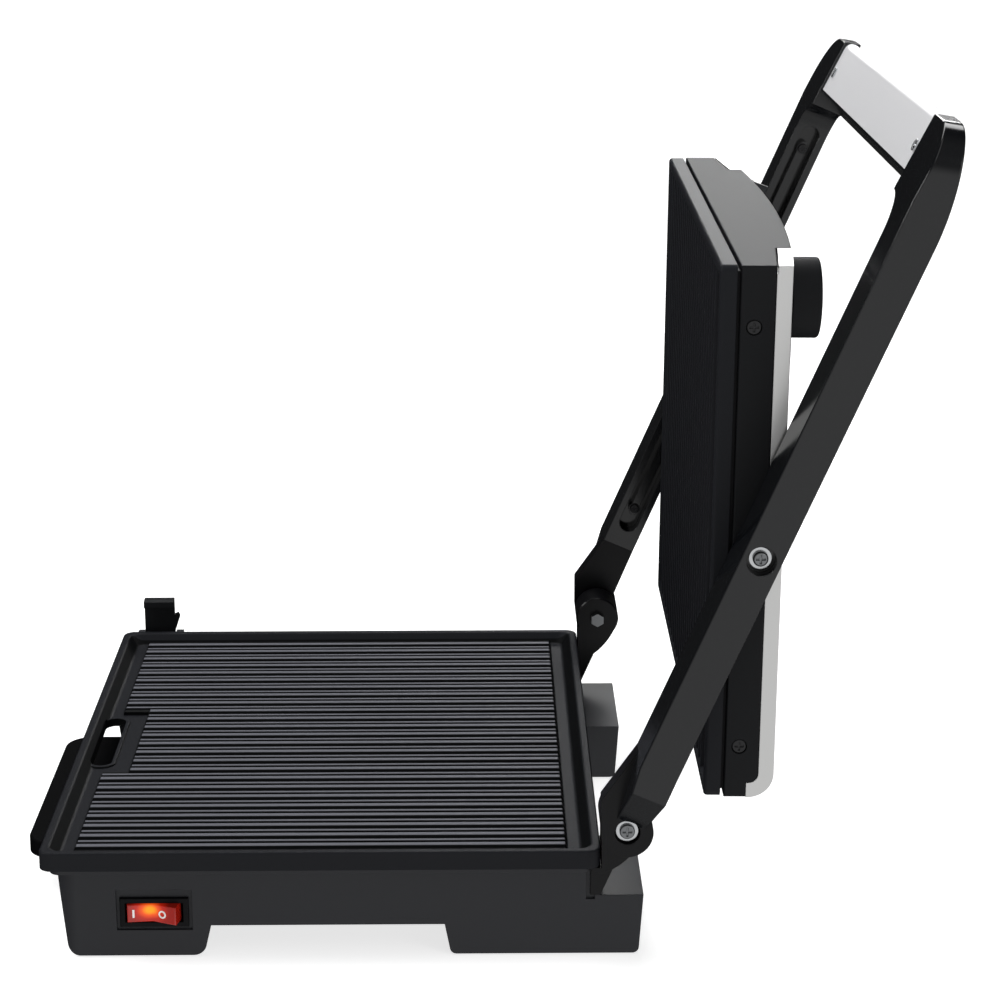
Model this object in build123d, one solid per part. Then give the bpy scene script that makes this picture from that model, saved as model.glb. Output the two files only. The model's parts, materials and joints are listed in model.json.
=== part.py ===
from build123d import *
import os
from math import asin, atan2, cos, degrees, hypot, radians, sin

# Table-top panini press, lid open. Millimetres.
# Origin: on the table, in the middle of the four rubber feet.
# +X is the user's right, +Y points to the back (hinge side), +Z is up.

# ---------------------------------------------------------------- fits
running_gap = 0.06        # radial gap of a shaft that turns in its hole
seat_gap = 0.05           # radial gap of a fixed screw or bush in its hole
body_gap = 0.3            # air between two bodies that move against each other
panel_gap = 0.2           # air between fixed panels that are set into each other

# ---------------------------------------------------------------- base
rim_top = 56.4            # cooking rim above the table
plate_width = 304.0       # lower plate across X
plate_length = 250.0      # lower plate along Y
plate_front = -139.0      # front edge of the lower plate
rim_height = 8.6          # thickness of the lower plate's rim
rim_width = 3.2           # flat top of the rim
rim_slope = 5.0           # run of the sloping inner wall
floor_drop = 5.4          # rim top down to the plate floor
rim_corner = 6.0
rib_pitch = 11.4
rib_base = 6.2
rib_top = 3.4
rib_height = 3.0          # crest above the plate's floor
low_rib_base = 4.4        # narrow rib in the middle of each valley
low_rib_top = 2.2
low_rib_height = 2.6
valley_rise = 1.7         # floor between the ribs above the drain channels
field_slope = 1.2         # run of the ribbed field's sloping ends
rib_front_margin = 17.0   # plate edge to rib ends, front
rib_back_margin = 14.0    # plate edge to rib ends, back
drain_length = 64.0       # drain slot across X
drain_width = 10.5
drain_edge = 6.6          # front edge of the plate to the drain slot
drain_lip = 1.4           # raised lip round the drain slot
drain_field = 28.0        # front edge of the plate to the ribs behind the slot

lip_inset = 4.0           # housing lip inside the plate's edge
lip_height = 3.4
body_inset = 9.0          # side wall of the base inside its lip
front_inset = 1.0         # front wall of the base inside its lip, at the top
front_draft = 5.0         # how far the front wall leans in at the table
wall = 2.5
arch_height = 15.4        # underside of the base above the table
arch_draft = 3.3
foot_gap = 0.8            # foot blocks above the table
block_width = 67.0        # foot block across X
front_block_end = 71.4    # plate front edge to the back of the front blocks
rear_block_start = 183.0  # plate front edge to the front of the rear blocks
tower_reach = 18.0        # rear blocks behind the plate's back edge, at the table
tower_lean = 2.0          # more reach at their top
tower_top = 29.4
block_corner = 6.0
front_corner = 9.0
tower_corner = 3.0
side_slit = 4.0           # upright slit between the side wall and the rear block

foot_radius = 9.0
foot_recess = 1.2
foot_inset = 16.0         # foot centre inside the ends of the blocks
post_radius = 5.0         # posts that carry the lower plate
post_neck = 3.6
post_half = 62.0          # posts each side of the middle plane
post_front = 115.0        # plate front edge to the front posts
post_back = 51.0          # plate back edge to the back posts
plate_screw_radius = 2.0
plate_screw_head = 3.4
plate_screw_bite = 1.8    # how deep a plate screw enters the plate
reflector_drop = 14.0     # plate underside to the heat shield
sheet = 0.8               # steel sheet inside the press
cover_length = 120.0      # service cover under the base
cover_width = 90.0
cover_thickness = 2.0
cover_screw_radius = 1.6
cover_screw_head = 3.0
gland_radius = 7.0
gland_bore = 3.6
gland_flange = 9.5
terminal_size = (34.0, 16.0, 12.0)
element_radius = 3.2      # tubular heating element
element_bend = 22.0
element_gap = 0.25        # element below the plate
element_margin = 50.0     # side wall to the element's outer legs

tray_width = 140.0
tray_depth = 88.0         # front lip to back wall
tray_lip_reach = 20.0     # lip in front of the plate's edge
tray_lip_height = 8.0
tray_height = 15.0
tray_wall = 2.0
tray_corner = 13.0
tray_clearance = 0.5

switch_from_front = 49.2  # plate front edge to the middle of the switch
switch_height = 21.9      # middle of the switch above the table
switch_length = 31.0
switch_tall = 14.0
switch_flange = 1.6
switch_frame = 1.6        # recess round the bezel
switch_recess = 1.2
switch_case = 18.0
rocker_length = 23.4
rocker_tall = 8.8
rocker_angle = 9.0        # tilt of the rocker each side of flat
rocker_pivot_depth = 3.4  # rocker axis behind the bezel's face
rocker_arm = 6.4          # height of the rocker's ends above its axis
rocker_pin = 1.2
mark_depth = 0.25

# ---------------------------------------------------------------- hinge and arms
hinge_back = 10.9         # hinge axis behind the plate's back edge
hinge_rise = 13.3         # hinge axis above the rim
ear_inset = 2.0           # ear's outer face inside the plate's edge
ear_thick = 19.0
ear_radius = 11.5
bracket_reach = 46.0      # bracket flange, from the ear's outer face inwards
bracket_flange = 3.5
bracket_screw_radius = 2.0
bracket_screw_head = 3.6
hinge_screw_radius = 3.0
hinge_nut = 3.8
hinge_nut_thick = 3.4
hinge_washer = 4.9
hinge_washer_thick = 1.2
hinge_head = 2.5
hinge_head_thick = 1.6
hinge_land = 5.5          # arm material under the hinge washer
arm_gap = 1.5             # arm's inner face outside the plate's edge
arm_thick = 26.5          # arm across X
arm_front = 11.3          # arm's front face ahead of the hinge axis
arm_back = 6.0            # arm's back face behind the hinge axis
arm_lean = 23.6           # arm's lean from upright, degrees
arm_edge = 2.2
arm_reach = 337.5         # hinge axis to the top of the grip
arm_shoulder = 24.0       # outer corner radius at the grip
arm_hollow = 15.0         # inner corner radius below the grip
heel_thick = 9.5          # heel on the arm's inner side
heel_radius = 11.5
heel_block = 15.5         # straight part of the heel above the hinge axis
boss_radius = 6.6
boss_bevel_start = 24.0   # along the arm, where its outer face starts to slope in
tilt_reach = 140.2        # hinge axis to the tilt pivot, along the arm
tilt_screw_radius = 2.5
tilt_recess_radius = 6.4
tilt_recess_depth = 6.5
tilt_washer = 4.8
tilt_washer_thick = 1.0
tilt_head = 2.7
tilt_head_thick = 2.2
spacer_radius = 6.0
slot_width = 10.4         # long recesses in the arm's inner face
slot_depth = 9.0
slot_margin = 20.0        # tilt pivot to the ends of the recesses
lower_slot_start = 46.0
slot_to_grip = 12.0       # end of the upper recess below the grip
bar_width = 4.6           # stiffener bar in each recess
bar_thick = 5.5
bar_end_gap = 9.0
bar_screw_radius = 1.5
bar_screw_head = 2.6
bar_screw_inset = 4.0

grip_tall = 37.5          # grip's height, along the arm
grip_cap = 16.5           # black cap between the arm's inner face and the sleeve
grip_front = 9.6
grip_back = 5.2
grip_front_rise = 7.5     # the grip's front edge starts this much higher
trim_start = 45.0         # top of the arm down to where its back face starts to lean in
sleeve_thick = 1.2
sleeve_round = 2.8        # rounding of the grip's top
grip_screw_radius = 1.6
grip_screw_head = 2.8
grip_screw_inset = 9.0

# ---------------------------------------------------------------- lid
lid_gap = 3.0             # lid's side to the arm's inner face
lid_length = 238.0
lid_lean = 0.6            # lean from upright at rest, degrees
tilt_depth = 18.37        # tilt pivot behind the lid's rim plane
tilt_from_rear = 118.03   # lid's rear end to the tilt pivot
lid_rim = 7.3             # thickness of the lid's cooking plate
lid_floor_drop = 4.4
lid_rib_height = 4.0
lid_seam = 1.6
lid_side = 15.0           # black side wall
lid_trim = 6.7            # steel wall above it
lid_crown = 8.0           # rise of the domed cover at the middle
lid_cover_thick = 1.2
lid_cover_round = 11.0    # rear end of the cover
lid_edge_round = 3.0
fascia_half = 110.0       # black arched front panel
fascia_thick = 3.0
lid_wall = 2.5
lid_seam_inset = 3.0
closed_gap = 0.9          # air between the two rims when shut
side_screw_inset_front = 26.4
side_screw_inset_back = 23.8
side_screw_depth = 15.0
side_screw_radius = 1.6
side_screw_head = 3.2
side_screw_recess = 3.6
lid_post_radius = 4.5
lid_post_height = 8.0
lid_post_inset = 32.0     # posts inside the lid's two ends

dial_from_front = 44.0    # lid's front end to the knob's middle
dial_pad_width = 48.0
dial_pad_rise = 8.6
dial_pad_tail = 47.0      # knob middle to the pad's lower end
dial_pad_head = 24.0
knob_radius = 19.3
knob_height = 14.0
knob_wall = 2.2
knob_edge = 1.0
pointer_width = 1.6
lens_radius = 3.0
lens_rise = 0.8
lens_from_knob = 31.0
lens_spacing = 14.0
shaft_radius = 3.0
thermostat_radius = 13.0
thermostat_height = 14.0
terminal_tab = 4.5        # terminals under the thermostat

# ---------------------------------------------------------------- storage latch
latch_front = 10.0        # plate front edge to the latch tab
latch_width = 16.5
latch_thick = 3.6
latch_stand = 10.0        # inner face of the tab outside the plate's edge
latch_top = 15.2          # top of the tab above the rim
latch_pin_drop = 9.0      # pin below the rim
latch_pin_radius = 1.5
latch_nose = 3.0
latch_nose_tall = 4.0
latch_ear = 4.0           # bracket cheeks each side of the tab
bracket_thick = 9.0
keeper_web = 2.2
keeper_reach = 5.6
keeper_thick = 2.4
keeper_grip = 1.4         # air between the latch nose and the keeper's foot

# ---------------------------------------------------------------- worked out
half_width = plate_width / 2
plate_back = plate_front + plate_length
plate_under = rim_top - rim_height
plate_floor = rim_top - floor_drop
lip_half = half_width - lip_inset
lip_front = plate_front + lip_inset
lip_back = plate_back - lip_inset
body_half = lip_half - body_inset
body_front = lip_front + front_inset
body_top = plate_under - lip_height
body_floor = arch_height + wall
tower_back = plate_back + tower_reach
block_inner = body_half - block_width
ear_outer = half_width - ear_inset
ear_inner = ear_outer - ear_thick
bracket_inner = ear_outer - bracket_reach
arm_inner = half_width + arm_gap
arm_outer = arm_inner + arm_thick
hinge_seat = arm_inner + hinge_land
heel_outer = arm_inner + heel_thick
grip_half = arm_inner - grip_cap
grip_start = arm_reach - grip_tall
hinge_y = plate_back + hinge_back
hinge_z = rim_top + hinge_rise
arm_mid = (arm_front - arm_back) / 2
arm_dir = (sin(radians(arm_lean)), cos(radians(arm_lean)))
arm_plane = Plane(origin=(0, hinge_y, hinge_z), x_dir=(0, arm_dir[0], arm_dir[1]), z_dir=(1, 0, 0))
tilt_y = hinge_y + tilt_reach * arm_dir[0] - arm_mid * arm_dir[1]
tilt_z = hinge_z + tilt_reach * arm_dir[1] + arm_mid * arm_dir[0]
lid_half = arm_inner - lid_gap
lid_width = 2 * lid_half
# rear end of the open lid's rim plane, worked out from the tilt pivot on the arm
lid_dir = (sin(radians(lid_lean)), cos(radians(lid_lean)))
lid_rear_y = tilt_y - tilt_depth * lid_dir[1] - tilt_from_rear * lid_dir[0]
lid_rear_z = tilt_z + tilt_depth * lid_dir[0] - tilt_from_rear * lid_dir[1]
lid_place = Location((0, lid_rear_y, lid_rear_z), (-90 - lid_lean, 0, 0))
dial_from_rear = lid_length - dial_from_front
latch_x = half_width + latch_stand
housing_low = lid_rim + lid_seam
lid_post_top = housing_low + lid_post_height
cover_low = housing_low + lid_side
cover_edge = cover_low + lid_trim
cover_crown = cover_edge + lid_crown
wrap_low = cover_edge - lid_cover_round - 1.0
pad_top = cover_crown + dial_pad_rise
crown_radius = (lid_half ** 2 + lid_crown ** 2) / (2 * lid_crown)


def closingAngle():
    """Turn of the arms that brings the tilt pivot to its closed height."""
    reach = hypot(tilt_y - hinge_y, tilt_z - hinge_z)
    leaned = degrees(atan2(tilt_y - hinge_y, tilt_z - hinge_z))
    closed_rise = tilt_depth + closed_gap - hinge_rise
    return leaned + 90 - degrees(asin(closed_rise / reach))


close_turn = closingAngle()
lid_turn = 90 + lid_lean
tilt_turn = lid_turn - close_turn


# ---------------------------------------------------------------- helpers
def block(x, y, z):
    """Box between two values on each axis."""
    middle = Pos((x[0] + x[1]) / 2, (y[0] + y[1]) / 2, (z[0] + z[1]) / 2)
    return middle * Box(x[1] - x[0], y[1] - y[0], z[1] - z[0])


def rodX(radius, x, y, z):
    """Round bar along X between x[0] and x[1]."""
    return Pos((x[0] + x[1]) / 2, y, z) * Rot(0, 90, 0) * Cylinder(radius, x[1] - x[0])


def rodY(radius, x, y, z):
    return Pos(x, (y[0] + y[1]) / 2, z) * Rot(90, 0, 0) * Cylinder(radius, y[1] - y[0])


def rodZ(radius, x, y, z):
    return Pos(x, y, (z[0] + z[1]) / 2) * Cylinder(radius, z[1] - z[0])


def drawn(plane, outline, length):
    """Outline drawn out along the plane's own Z."""
    return extrude(plane * outline, length, dir=plane.z_dir)


def sideShape(points, x, round_at=(), radius=0.0):
    """Outline in Y and Z, drawn out along X; round_at lists corners to round."""
    outline = Polygon(*points, align=None)
    corners = [points[i] for i in round_at]
    picked = [v for v in outline.vertices() if any(hypot(v.X - a, v.Y - b) < 1e-4 for a, b in corners)]
    if picked:
        outline = fillet(picked, radius)
    return drawn(Plane.YZ.offset(x[0]), outline, x[1] - x[0])


def armShape(points, x):
    """Outline in arm length and forward distance, drawn out along X."""
    return drawn(arm_plane.offset(x[0]), Polygon(*points, align=None), x[1] - x[0])


def onArm(along, forward=0.0):
    """Y and Z of a place on the arm."""
    return (hinge_y + along * arm_dir[0] - forward * arm_dir[1],
            hinge_z + along * arm_dir[1] + forward * arm_dir[0])


def mirrored(part):
    return mirror(part, about=Plane.YZ)


def both(part):
    return [part, mirrored(part)]


def crossHead(radius, thick, slot):
    """Pan head along +Z from 0, with a cross recess."""
    head = Pos(0, 0, thick / 2) * Cylinder(radius, thick)
    head = fillet(head.edges().sort_by(Axis.Z)[-1], thick * 0.45)
    for turn in (0, 90):
        head -= Pos(0, 0, thick) * Rot(0, 0, turn) * Box(radius * 1.25, slot, thick)
    return head


def headedScrew(radius, length, head_radius, head_thick):
    """Screw along Z: shank below 0, cross head above it."""
    shank = Pos(0, 0, -length / 2) * Cylinder(radius, length)
    return shank + crossHead(head_radius, head_thick, head_radius * 0.28)


def ringX(outer, inner, x, y, z):
    return rodX(outer, x, y, z) - rodX(inner, x, y, z)


# ---------------------------------------------------------------- base
def ribbedField(xs, y_of, floor, height, base_width, top_width):
    """Cooking ribs with sloping flanks on a floor; y_of gives each rib's two ends."""
    ribs = []
    for x in xs:
        y0, y1 = y_of(x)
        section = Polygon((x - base_width / 2, floor), (x - top_width / 2, floor + height),
                          (x + top_width / 2, floor + height), (x + base_width / 2, floor), align=None)
        ribs.append(drawn(Plane.XZ.offset(-y1), section, y1 - y0))
    return ribs


def valleyFloor(x, y):
    """Raised floor between the ribs; its two ends slope down to the drain channels."""
    top = plate_floor + valley_rise
    return sideShape([(y[0], plate_floor), (y[0] + field_slope, top), (y[1] - field_slope, top),
                      (y[1], plate_floor)], x)


def ribPlaces(width):
    count = int(width // rib_pitch)
    count -= 1 - count % 2
    return [(i - (count - 1) / 2) * rib_pitch for i in range(count)]


def lowerPlate():
    plate = block((-half_width, half_width), (plate_front, plate_back), (plate_under, rim_top))
    plate = fillet(plate.edges().filter_by(Axis.Z), rim_corner)
    plate = fillet(plate.edges().group_by(Axis.Z)[-1], 0.8)
    middle = (plate_front + plate_back) / 2
    mouth = RectangleRounded(plate_width - 2 * rim_width, plate_length - 2 * rim_width, rim_corner - 1)
    inset = rim_width + rim_slope
    base = RectangleRounded(plate_width - 2 * inset, plate_length - 2 * inset, rim_corner - 1)
    plate -= loft([Pos(0, middle, plate_floor) * base, Pos(0, middle, rim_top) * mouth], ruled=True)

    field_start = plate_front + rib_front_margin
    field_end = plate_back - rib_back_margin
    slot_field = plate_front + drain_field

    def ends(x):
        near_slot = abs(x) < drain_length / 2 + rib_base / 2
        return (slot_field if near_slot else field_start, field_end)

    rib_span = plate_width - 2 * inset
    ribs = ribbedField(ribPlaces(rib_span), ends, plate_floor, rib_height, rib_base, rib_top)
    between = [x + rib_pitch / 2 for x in ribPlaces(rib_span)[:-1]]
    ribs += ribbedField(between, ends, plate_floor, low_rib_height, low_rib_base, low_rib_top)
    side_edge = drain_length / 2 + rib_base / 2
    field = [valleyFloor((-half_width + inset, half_width - inset), (slot_field, field_end)),
             valleyFloor((-half_width + inset, -side_edge), (field_start, slot_field + field_slope)),
             valleyFloor((side_edge, half_width - inset), (field_start, slot_field + field_slope))]
    slot_y = plate_front + drain_edge + drain_width / 2
    lip = SlotOverall(drain_length + 2 * drain_lip, drain_width + 2 * drain_lip)
    lip_solid = extrude(Pos(0, slot_y, plate_floor) * lip, drain_lip / 2)
    plate = plate + field + ribs + lip_solid
    slot = SlotOverall(drain_length, drain_width)
    plate -= extrude(Pos(0, slot_y, plate_under - 1) * slot, rim_height)
    for x, y in postPlaces():
        plate -= rodZ(plate_screw_radius + seat_gap, x, y, (plate_under, plate_under + plate_screw_bite))
    return plate


def postPlaces():
    ys = (plate_front + post_front, plate_back - post_back)
    return [(sx * post_half, y) for sx in (-1, 1) for y in ys]


def frontAt(z):
    """Y of the leaning front wall at a height."""
    return body_front + front_draft * (body_top - z) / (body_top - foot_gap)


def baseBlank(inset, top):
    """Body of the base with its four foot blocks, shrunk by inset on every side but the top."""
    low = arch_height + inset
    foot = foot_gap + inset
    back = lip_back - inset
    half = body_half - inset
    slab = sideShape([(frontAt(top) + inset, top), (frontAt(low) + inset, low), (back, low), (back, top)],
                     (-half, half))
    front_end = plate_front + front_block_end
    front_foot = sideShape([(frontAt(body_top) + inset, body_top), (frontAt(foot) + inset, foot),
                            (front_end - inset, foot), (front_end + arch_draft - inset, arch_height + wall),
                            (front_end + arch_draft - inset, body_top)],
                           (block_inner + inset, half), (1, 2), max(block_corner - inset, 1.0))
    rear_start = plate_front + rear_block_start
    rear_back = tower_back - inset
    rear_foot = sideShape([(rear_start - arch_draft + inset, tower_top - inset),
                           (rear_start - arch_draft + inset, arch_height + wall),
                           (rear_start + inset, foot), (rear_back, foot),
                           (rear_back + tower_lean, tower_top - inset)],
                          (block_inner + inset, half), (2, 3), max(tower_corner - inset, 0.4))
    blank = slab + front_foot + rear_foot + mirrored(front_foot) + mirrored(rear_foot)
    guard = block((-half, half), (body_front + inset, tower_back + plate_length), (foot, top))
    fronts = [e for e in guard.edges().filter_by(Axis.Z) if e.center().Y < 0]
    return blank & fillet(fronts, front_corner - inset)


def trayPocket(extra):
    """Room for the drip tray, open at the front."""
    half = tray_width / 2 + tray_clearance + extra
    back = plate_front - tray_lip_reach + tray_depth + tray_clearance + extra
    return block((-half, half), (plate_front - 5, back), (body_floor - extra, plate_under))


def baseHousing():
    housing = baseBlank(0, body_top)
    lip = block((-lip_half, lip_half), (lip_front, lip_back), (body_top, plate_under))
    lip = fillet(lip.edges().filter_by(Axis.Z), rim_corner - 1)
    housing += lip
    inner_half = body_half - wall
    housing -= baseBlank(wall, body_top)
    housing -= block((-inner_half, inner_half), (body_front + wall, lip_back - wall),
                     (body_top - 0.01, plate_under))
    pocket_wall = trayPocket(wall) & block((-lip_half, lip_half), (body_front + front_draft, lip_back),
                                           (arch_height, plate_under))
    housing += pocket_wall
    housing -= trayPocket(0)
    for x, y in postPlaces():
        shoulder = plate_under - reflector_drop - sheet
        housing += rodZ(post_radius, x, y, (arch_height, shoulder))
        housing += rodZ(post_neck, x, y, (shoulder, plate_under))
        housing -= rodZ(plate_screw_radius + seat_gap, x, y, (arch_height - 20, plate_under))
        housing -= rodZ(plate_screw_head + panel_gap, x, y, (foot_gap - 1, arch_height + wall))
    for x, y in footPlaces():
        housing -= rodZ(foot_radius + seat_gap, x, y, (foot_gap - 1, foot_gap + foot_recess))
    housing -= switchCut()
    housing -= coverOpening()
    housing -= glandHole(gland_radius + seat_gap)
    for x in (-1, 1):
        for bx, bz in bracketScrewPlaces():
            housing -= rodY(bracket_screw_radius + seat_gap, x * bx, (lip_back - wall - 1, lip_back + 1), bz)
    for x in (-body_half, body_half):
        housing -= block((x - wall / 2, x + wall / 2), (lip_back - side_slit / 2, lip_back + side_slit / 2),
                         (tower_top - 2, body_top))
    for y in latchScrewPlaces():
        span = (-body_half - 1, -body_half + 3 * wall)
        housing -= rodX(bracket_screw_radius + seat_gap, span, y, latch_screw_z)
    return housing


def footPlaces():
    x = (block_inner + body_half) / 2
    front = frontAt(foot_gap) + foot_inset
    back = tower_back - foot_inset
    return [(sx * x, y) for sx in (-1, 1) for y in (front, back)]


def rubberFeet():
    feet = []
    for x, y in footPlaces():
        foot = rodZ(foot_radius, x, y, (0, foot_gap + foot_recess))
        foot = chamfer(foot.edges().sort_by(Axis.Z)[0], 0.5)
        feet.append(foot)
    return feet


def plateScrews():
    """Screws that come up through the posts and hold the lower plate."""
    top = plate_under + plate_screw_bite
    screw = headedScrew(plate_screw_radius, top - body_floor, plate_screw_head, 2.0)
    return [Pos(x, y, body_floor) * Rot(180, 0, 0) * screw for x, y in postPlaces()]


def coverSpan():
    middle = (plate_front + plate_back) / 2 + cover_length / 4
    return (-cover_width / 2, cover_width / 2), (middle - cover_length / 2, middle + cover_length / 2)


def coverOpening():
    """Step in the floor for the service cover and the hole inside it."""
    xs, ys = coverSpan()
    step = block((xs[0] - panel_gap, xs[1] + panel_gap), (ys[0] - panel_gap, ys[1] + panel_gap),
                 (arch_height - 1, arch_height + cover_thickness / 2))
    margin = 3 * cover_screw_head
    hole = block((xs[0] + margin, xs[1] - margin), (ys[0] + margin, ys[1] - margin),
                 (arch_height - 1, arch_height + wall + 1))
    cut = step + hole
    for x, y in coverScrewPlaces():
        cut += rodZ(cover_screw_radius + seat_gap, x, y, (arch_height, arch_height + wall + 1))
    return cut


def coverScrewPlaces():
    xs, ys = coverSpan()
    inset = 1.5 * cover_screw_head
    return [(x, y) for x in (xs[0] + inset, xs[1] - inset) for y in (ys[0] + inset, ys[1] - inset)]


def serviceCover():
    """Vented plate that closes the base from below."""
    xs, ys = coverSpan()
    low = arch_height - cover_thickness / 2
    cover = block(xs, ys, (low, arch_height + cover_thickness / 2))
    for x, y in coverScrewPlaces():
        cover -= rodZ(cover_screw_radius + seat_gap, x, y, (low - 1, low + cover_thickness + 1))
    vent = extrude(SlotOverall(cover_width / 2, 4), cover_thickness + 2)
    middle = (ys[0] + ys[1]) / 2
    for i in range(5):
        cover -= Pos(0, middle + (i - 2) * 14, low - 1) * vent
    return cover


def coverScrews():
    screw = headedScrew(cover_screw_radius, wall, cover_screw_head, 1.6)
    low = arch_height - cover_thickness / 2
    return [Pos(x, y, low) * Rot(180, 0, 0) * screw for x, y in coverScrewPlaces()]


gland_z = (arch_height + tower_top) / 2 + 6
gland_x = -38.0


def glandHole(radius):
    return rodY(radius, gland_x, (lip_back - wall - 1, lip_back + 1), gland_z)


def cordGland():
    """Bush in the back wall where a mains cord enters."""
    bush = rodY(gland_radius, gland_x, (lip_back - wall - 3, lip_back + 4), gland_z)
    bush += rodY(gland_flange, gland_x, (lip_back, lip_back + 4), gland_z)
    bush = chamfer(bush.edges().sort_by(Axis.Y)[-1], 1.2)
    return bush - rodY(gland_bore, gland_x, (lip_back - 10, lip_back + 10), gland_z)


def terminalBlock():
    """Screw terminals on the floor of the base, in front of the gland."""
    length, width, height = terminal_size
    y = lip_back - wall - 28
    x = gland_x - length / 2 - 22
    body = block((x - length / 2, x + length / 2), (y - width / 2, y + width / 2),
                 (body_floor, body_floor + height))
    for i in (-1, 0, 1):
        body -= rodZ(2.2, x + i * 10, y, (body_floor + height / 2, body_floor + height + 1))
        body -= rodY(1.8, x + i * 10, (y - width, y + width), body_floor + height / 4)
    return body


def heatingElement(z, front, back, reach_x):
    """U-shaped tubular element with its two ends at the back."""
    bend = element_bend
    inner = 1.4 * bend
    path = FilletPolyline((-inner, back, z), (-inner, front + 3 * bend, z), (-reach_x, front + 3 * bend, z),
                          (-reach_x, front, z), (reach_x, front, z), (reach_x, front + 3 * bend, z),
                          (inner, front + 3 * bend, z), (inner, back, z), radius=bend * 0.6)
    section = Plane(origin=(-inner, back, z), z_dir=(0, -1, 0)) * Circle(element_radius)
    return sweep(section, path=path)


def lowerElement():
    z = plate_under - element_gap - element_radius
    front = plate_front - tray_lip_reach + tray_depth + wall + tray_clearance + 14
    return heatingElement(z, front, lip_back - wall - 20, body_half - wall - element_margin)


def lowerReflector():
    """Heat shield that sits on the shoulders of the posts."""
    low = plate_under - reflector_drop - sheet
    half = body_half - wall - 3
    front = plate_front - tray_lip_reach + tray_depth + wall + tray_clearance + 3
    shield = block((-half, half), (front, lip_back - wall - 3), (low, low + sheet))
    for x, y in postPlaces():
        shield -= rodZ(post_neck + panel_gap, x, y, (low - 1, low + sheet + 1))
    return shield


# ---------------------------------------------------------------- switch
switch_y = plate_front + switch_from_front
switch_face = body_half - switch_recess + switch_flange   # outer face of the bezel
rocker_x = switch_face - rocker_pivot_depth


def switchCut():
    """Recess and hole in the right side wall."""
    frame = switch_frame
    recess = block((body_half - switch_recess, body_half + 1),
                   (switch_y - switch_length / 2 - frame, switch_y + switch_length / 2 + frame),
                   (switch_height - switch_tall / 2 - frame, switch_height + switch_tall / 2 + 2.5 * frame))
    hole = block((body_half - wall - 4, body_half + 1),
                 (switch_y - switch_length / 2 + 1.3, switch_y + switch_length / 2 - 1.3),
                 (switch_height - switch_tall / 2 + 1.3, switch_height + switch_tall / 2 - 1.3))
    return recess + hole


def switchBezel():
    """Snap-in case of the rocker switch."""
    seat = body_half - switch_recess
    flange = block((seat, switch_face), (switch_y - switch_length / 2, switch_y + switch_length / 2),
                   (switch_height - switch_tall / 2, switch_height + switch_tall / 2))
    flange = fillet(flange.edges().group_by(Axis.X)[-1], 0.5)
    case_half_y = switch_length / 2 - 1.5
    case_half_z = switch_tall / 2 - 1.5
    case = block((seat - switch_case, seat), (switch_y - case_half_y, switch_y + case_half_y),
                 (switch_height - case_half_z, switch_height + case_half_z))
    mouth_y = rocker_length / 2 + 1.4
    mouth_z = rocker_tall / 2 + body_gap
    bezel = flange + case
    bezel -= block((rocker_x - rocker_arm - 1, switch_face + 1), (switch_y - mouth_y, switch_y + mouth_y),
                   (switch_height - mouth_z, switch_height + mouth_z))
    bezel -= rodZ(rocker_pin + running_gap, rocker_x, switch_y,
                  (switch_height - mouth_z - 0.6, switch_height + mouth_z + 0.6))
    for i in (-1, 0, 1):
        x = seat - switch_case
        bezel += block((x - 7, x), (switch_y + i * 8 - 2.4, switch_y + i * 8 + 2.4),
                       (switch_height - 0.4, switch_height + 0.4))
    return bezel


def switchRocker():
    """Rocker with two sloping faces on an upright pin; its front end is pressed in."""
    half = rocker_length / 2
    valley = rocker_arm * 0.55
    outline = Polygon((-1.4, -half), (-3.4, -half * 0.45), (-3.4, half * 0.45), (-1.4, half),
                      (rocker_arm, half - 0.4), (valley, 0), (rocker_arm, 0.4 - half), align=None)
    crests = [v for v in outline.vertices() if abs(v.X - rocker_arm) < 0.01]
    outline = fillet(crests, 0.8)
    body = drawn(Plane.XY.offset(-rocker_tall / 2), outline, rocker_tall)
    body += Cylinder(rocker_pin, 2 * (rocker_tall / 2 + body_gap + 0.5))
    # generic marks: a bar on the front half, a ring on the back half
    slope = degrees(atan2(rocker_arm - valley, half - 0.4))
    middle = (rocker_arm + valley) / 2
    bar = block((-mark_depth, 2), (-0.5, 0.5), (-2.0, 2.0))
    ring = rodX(1.9, (-mark_depth, 2), 0, 0) - rodX(1.1, (-mark_depth, 2), 0, 0)
    body -= Pos(middle, -half / 2, 0) * Rot(0, 0, slope) * bar
    body -= Pos(middle, half / 2, 0) * Rot(0, 0, -slope) * ring
    return Pos(rocker_x, switch_y, switch_height) * Rot(0, 0, -rocker_angle) * body


# ---------------------------------------------------------------- drip tray
def dripTray():
    front = plate_front - tray_lip_reach
    back = front + tray_depth
    low = body_floor + body_gap
    half = tray_width / 2
    wall_front = body_front + front_draft + 1
    pan = block((-half, half), (wall_front, back), (low, low + tray_height))
    pan -= block((-half + tray_wall, half - tray_wall), (wall_front + tray_wall, back - tray_wall),
                 (low + tray_wall, low + tray_height + 1))
    lip = block((-half, half), (front, wall_front), (low, low + tray_lip_height))
    fronts = [e for e in lip.edges().filter_by(Axis.Z) if e.center().Y < front + 1]
    lip = fillet(fronts, tray_corner)
    lip = fillet(lip.edges().group_by(Axis.Z)[-1], 1.2)
    lip -= block((-half + 14, half - 14), (front + 8, wall_front - 3), (low - 1, low + 2.2))
    return pan + lip


# ---------------------------------------------------------------- hinge brackets
def bracketScrewPlaces():
    z = (tower_top + body_top) / 2
    return [(bracket_inner + 6, z), (bracket_inner + 19, z)]


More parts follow.
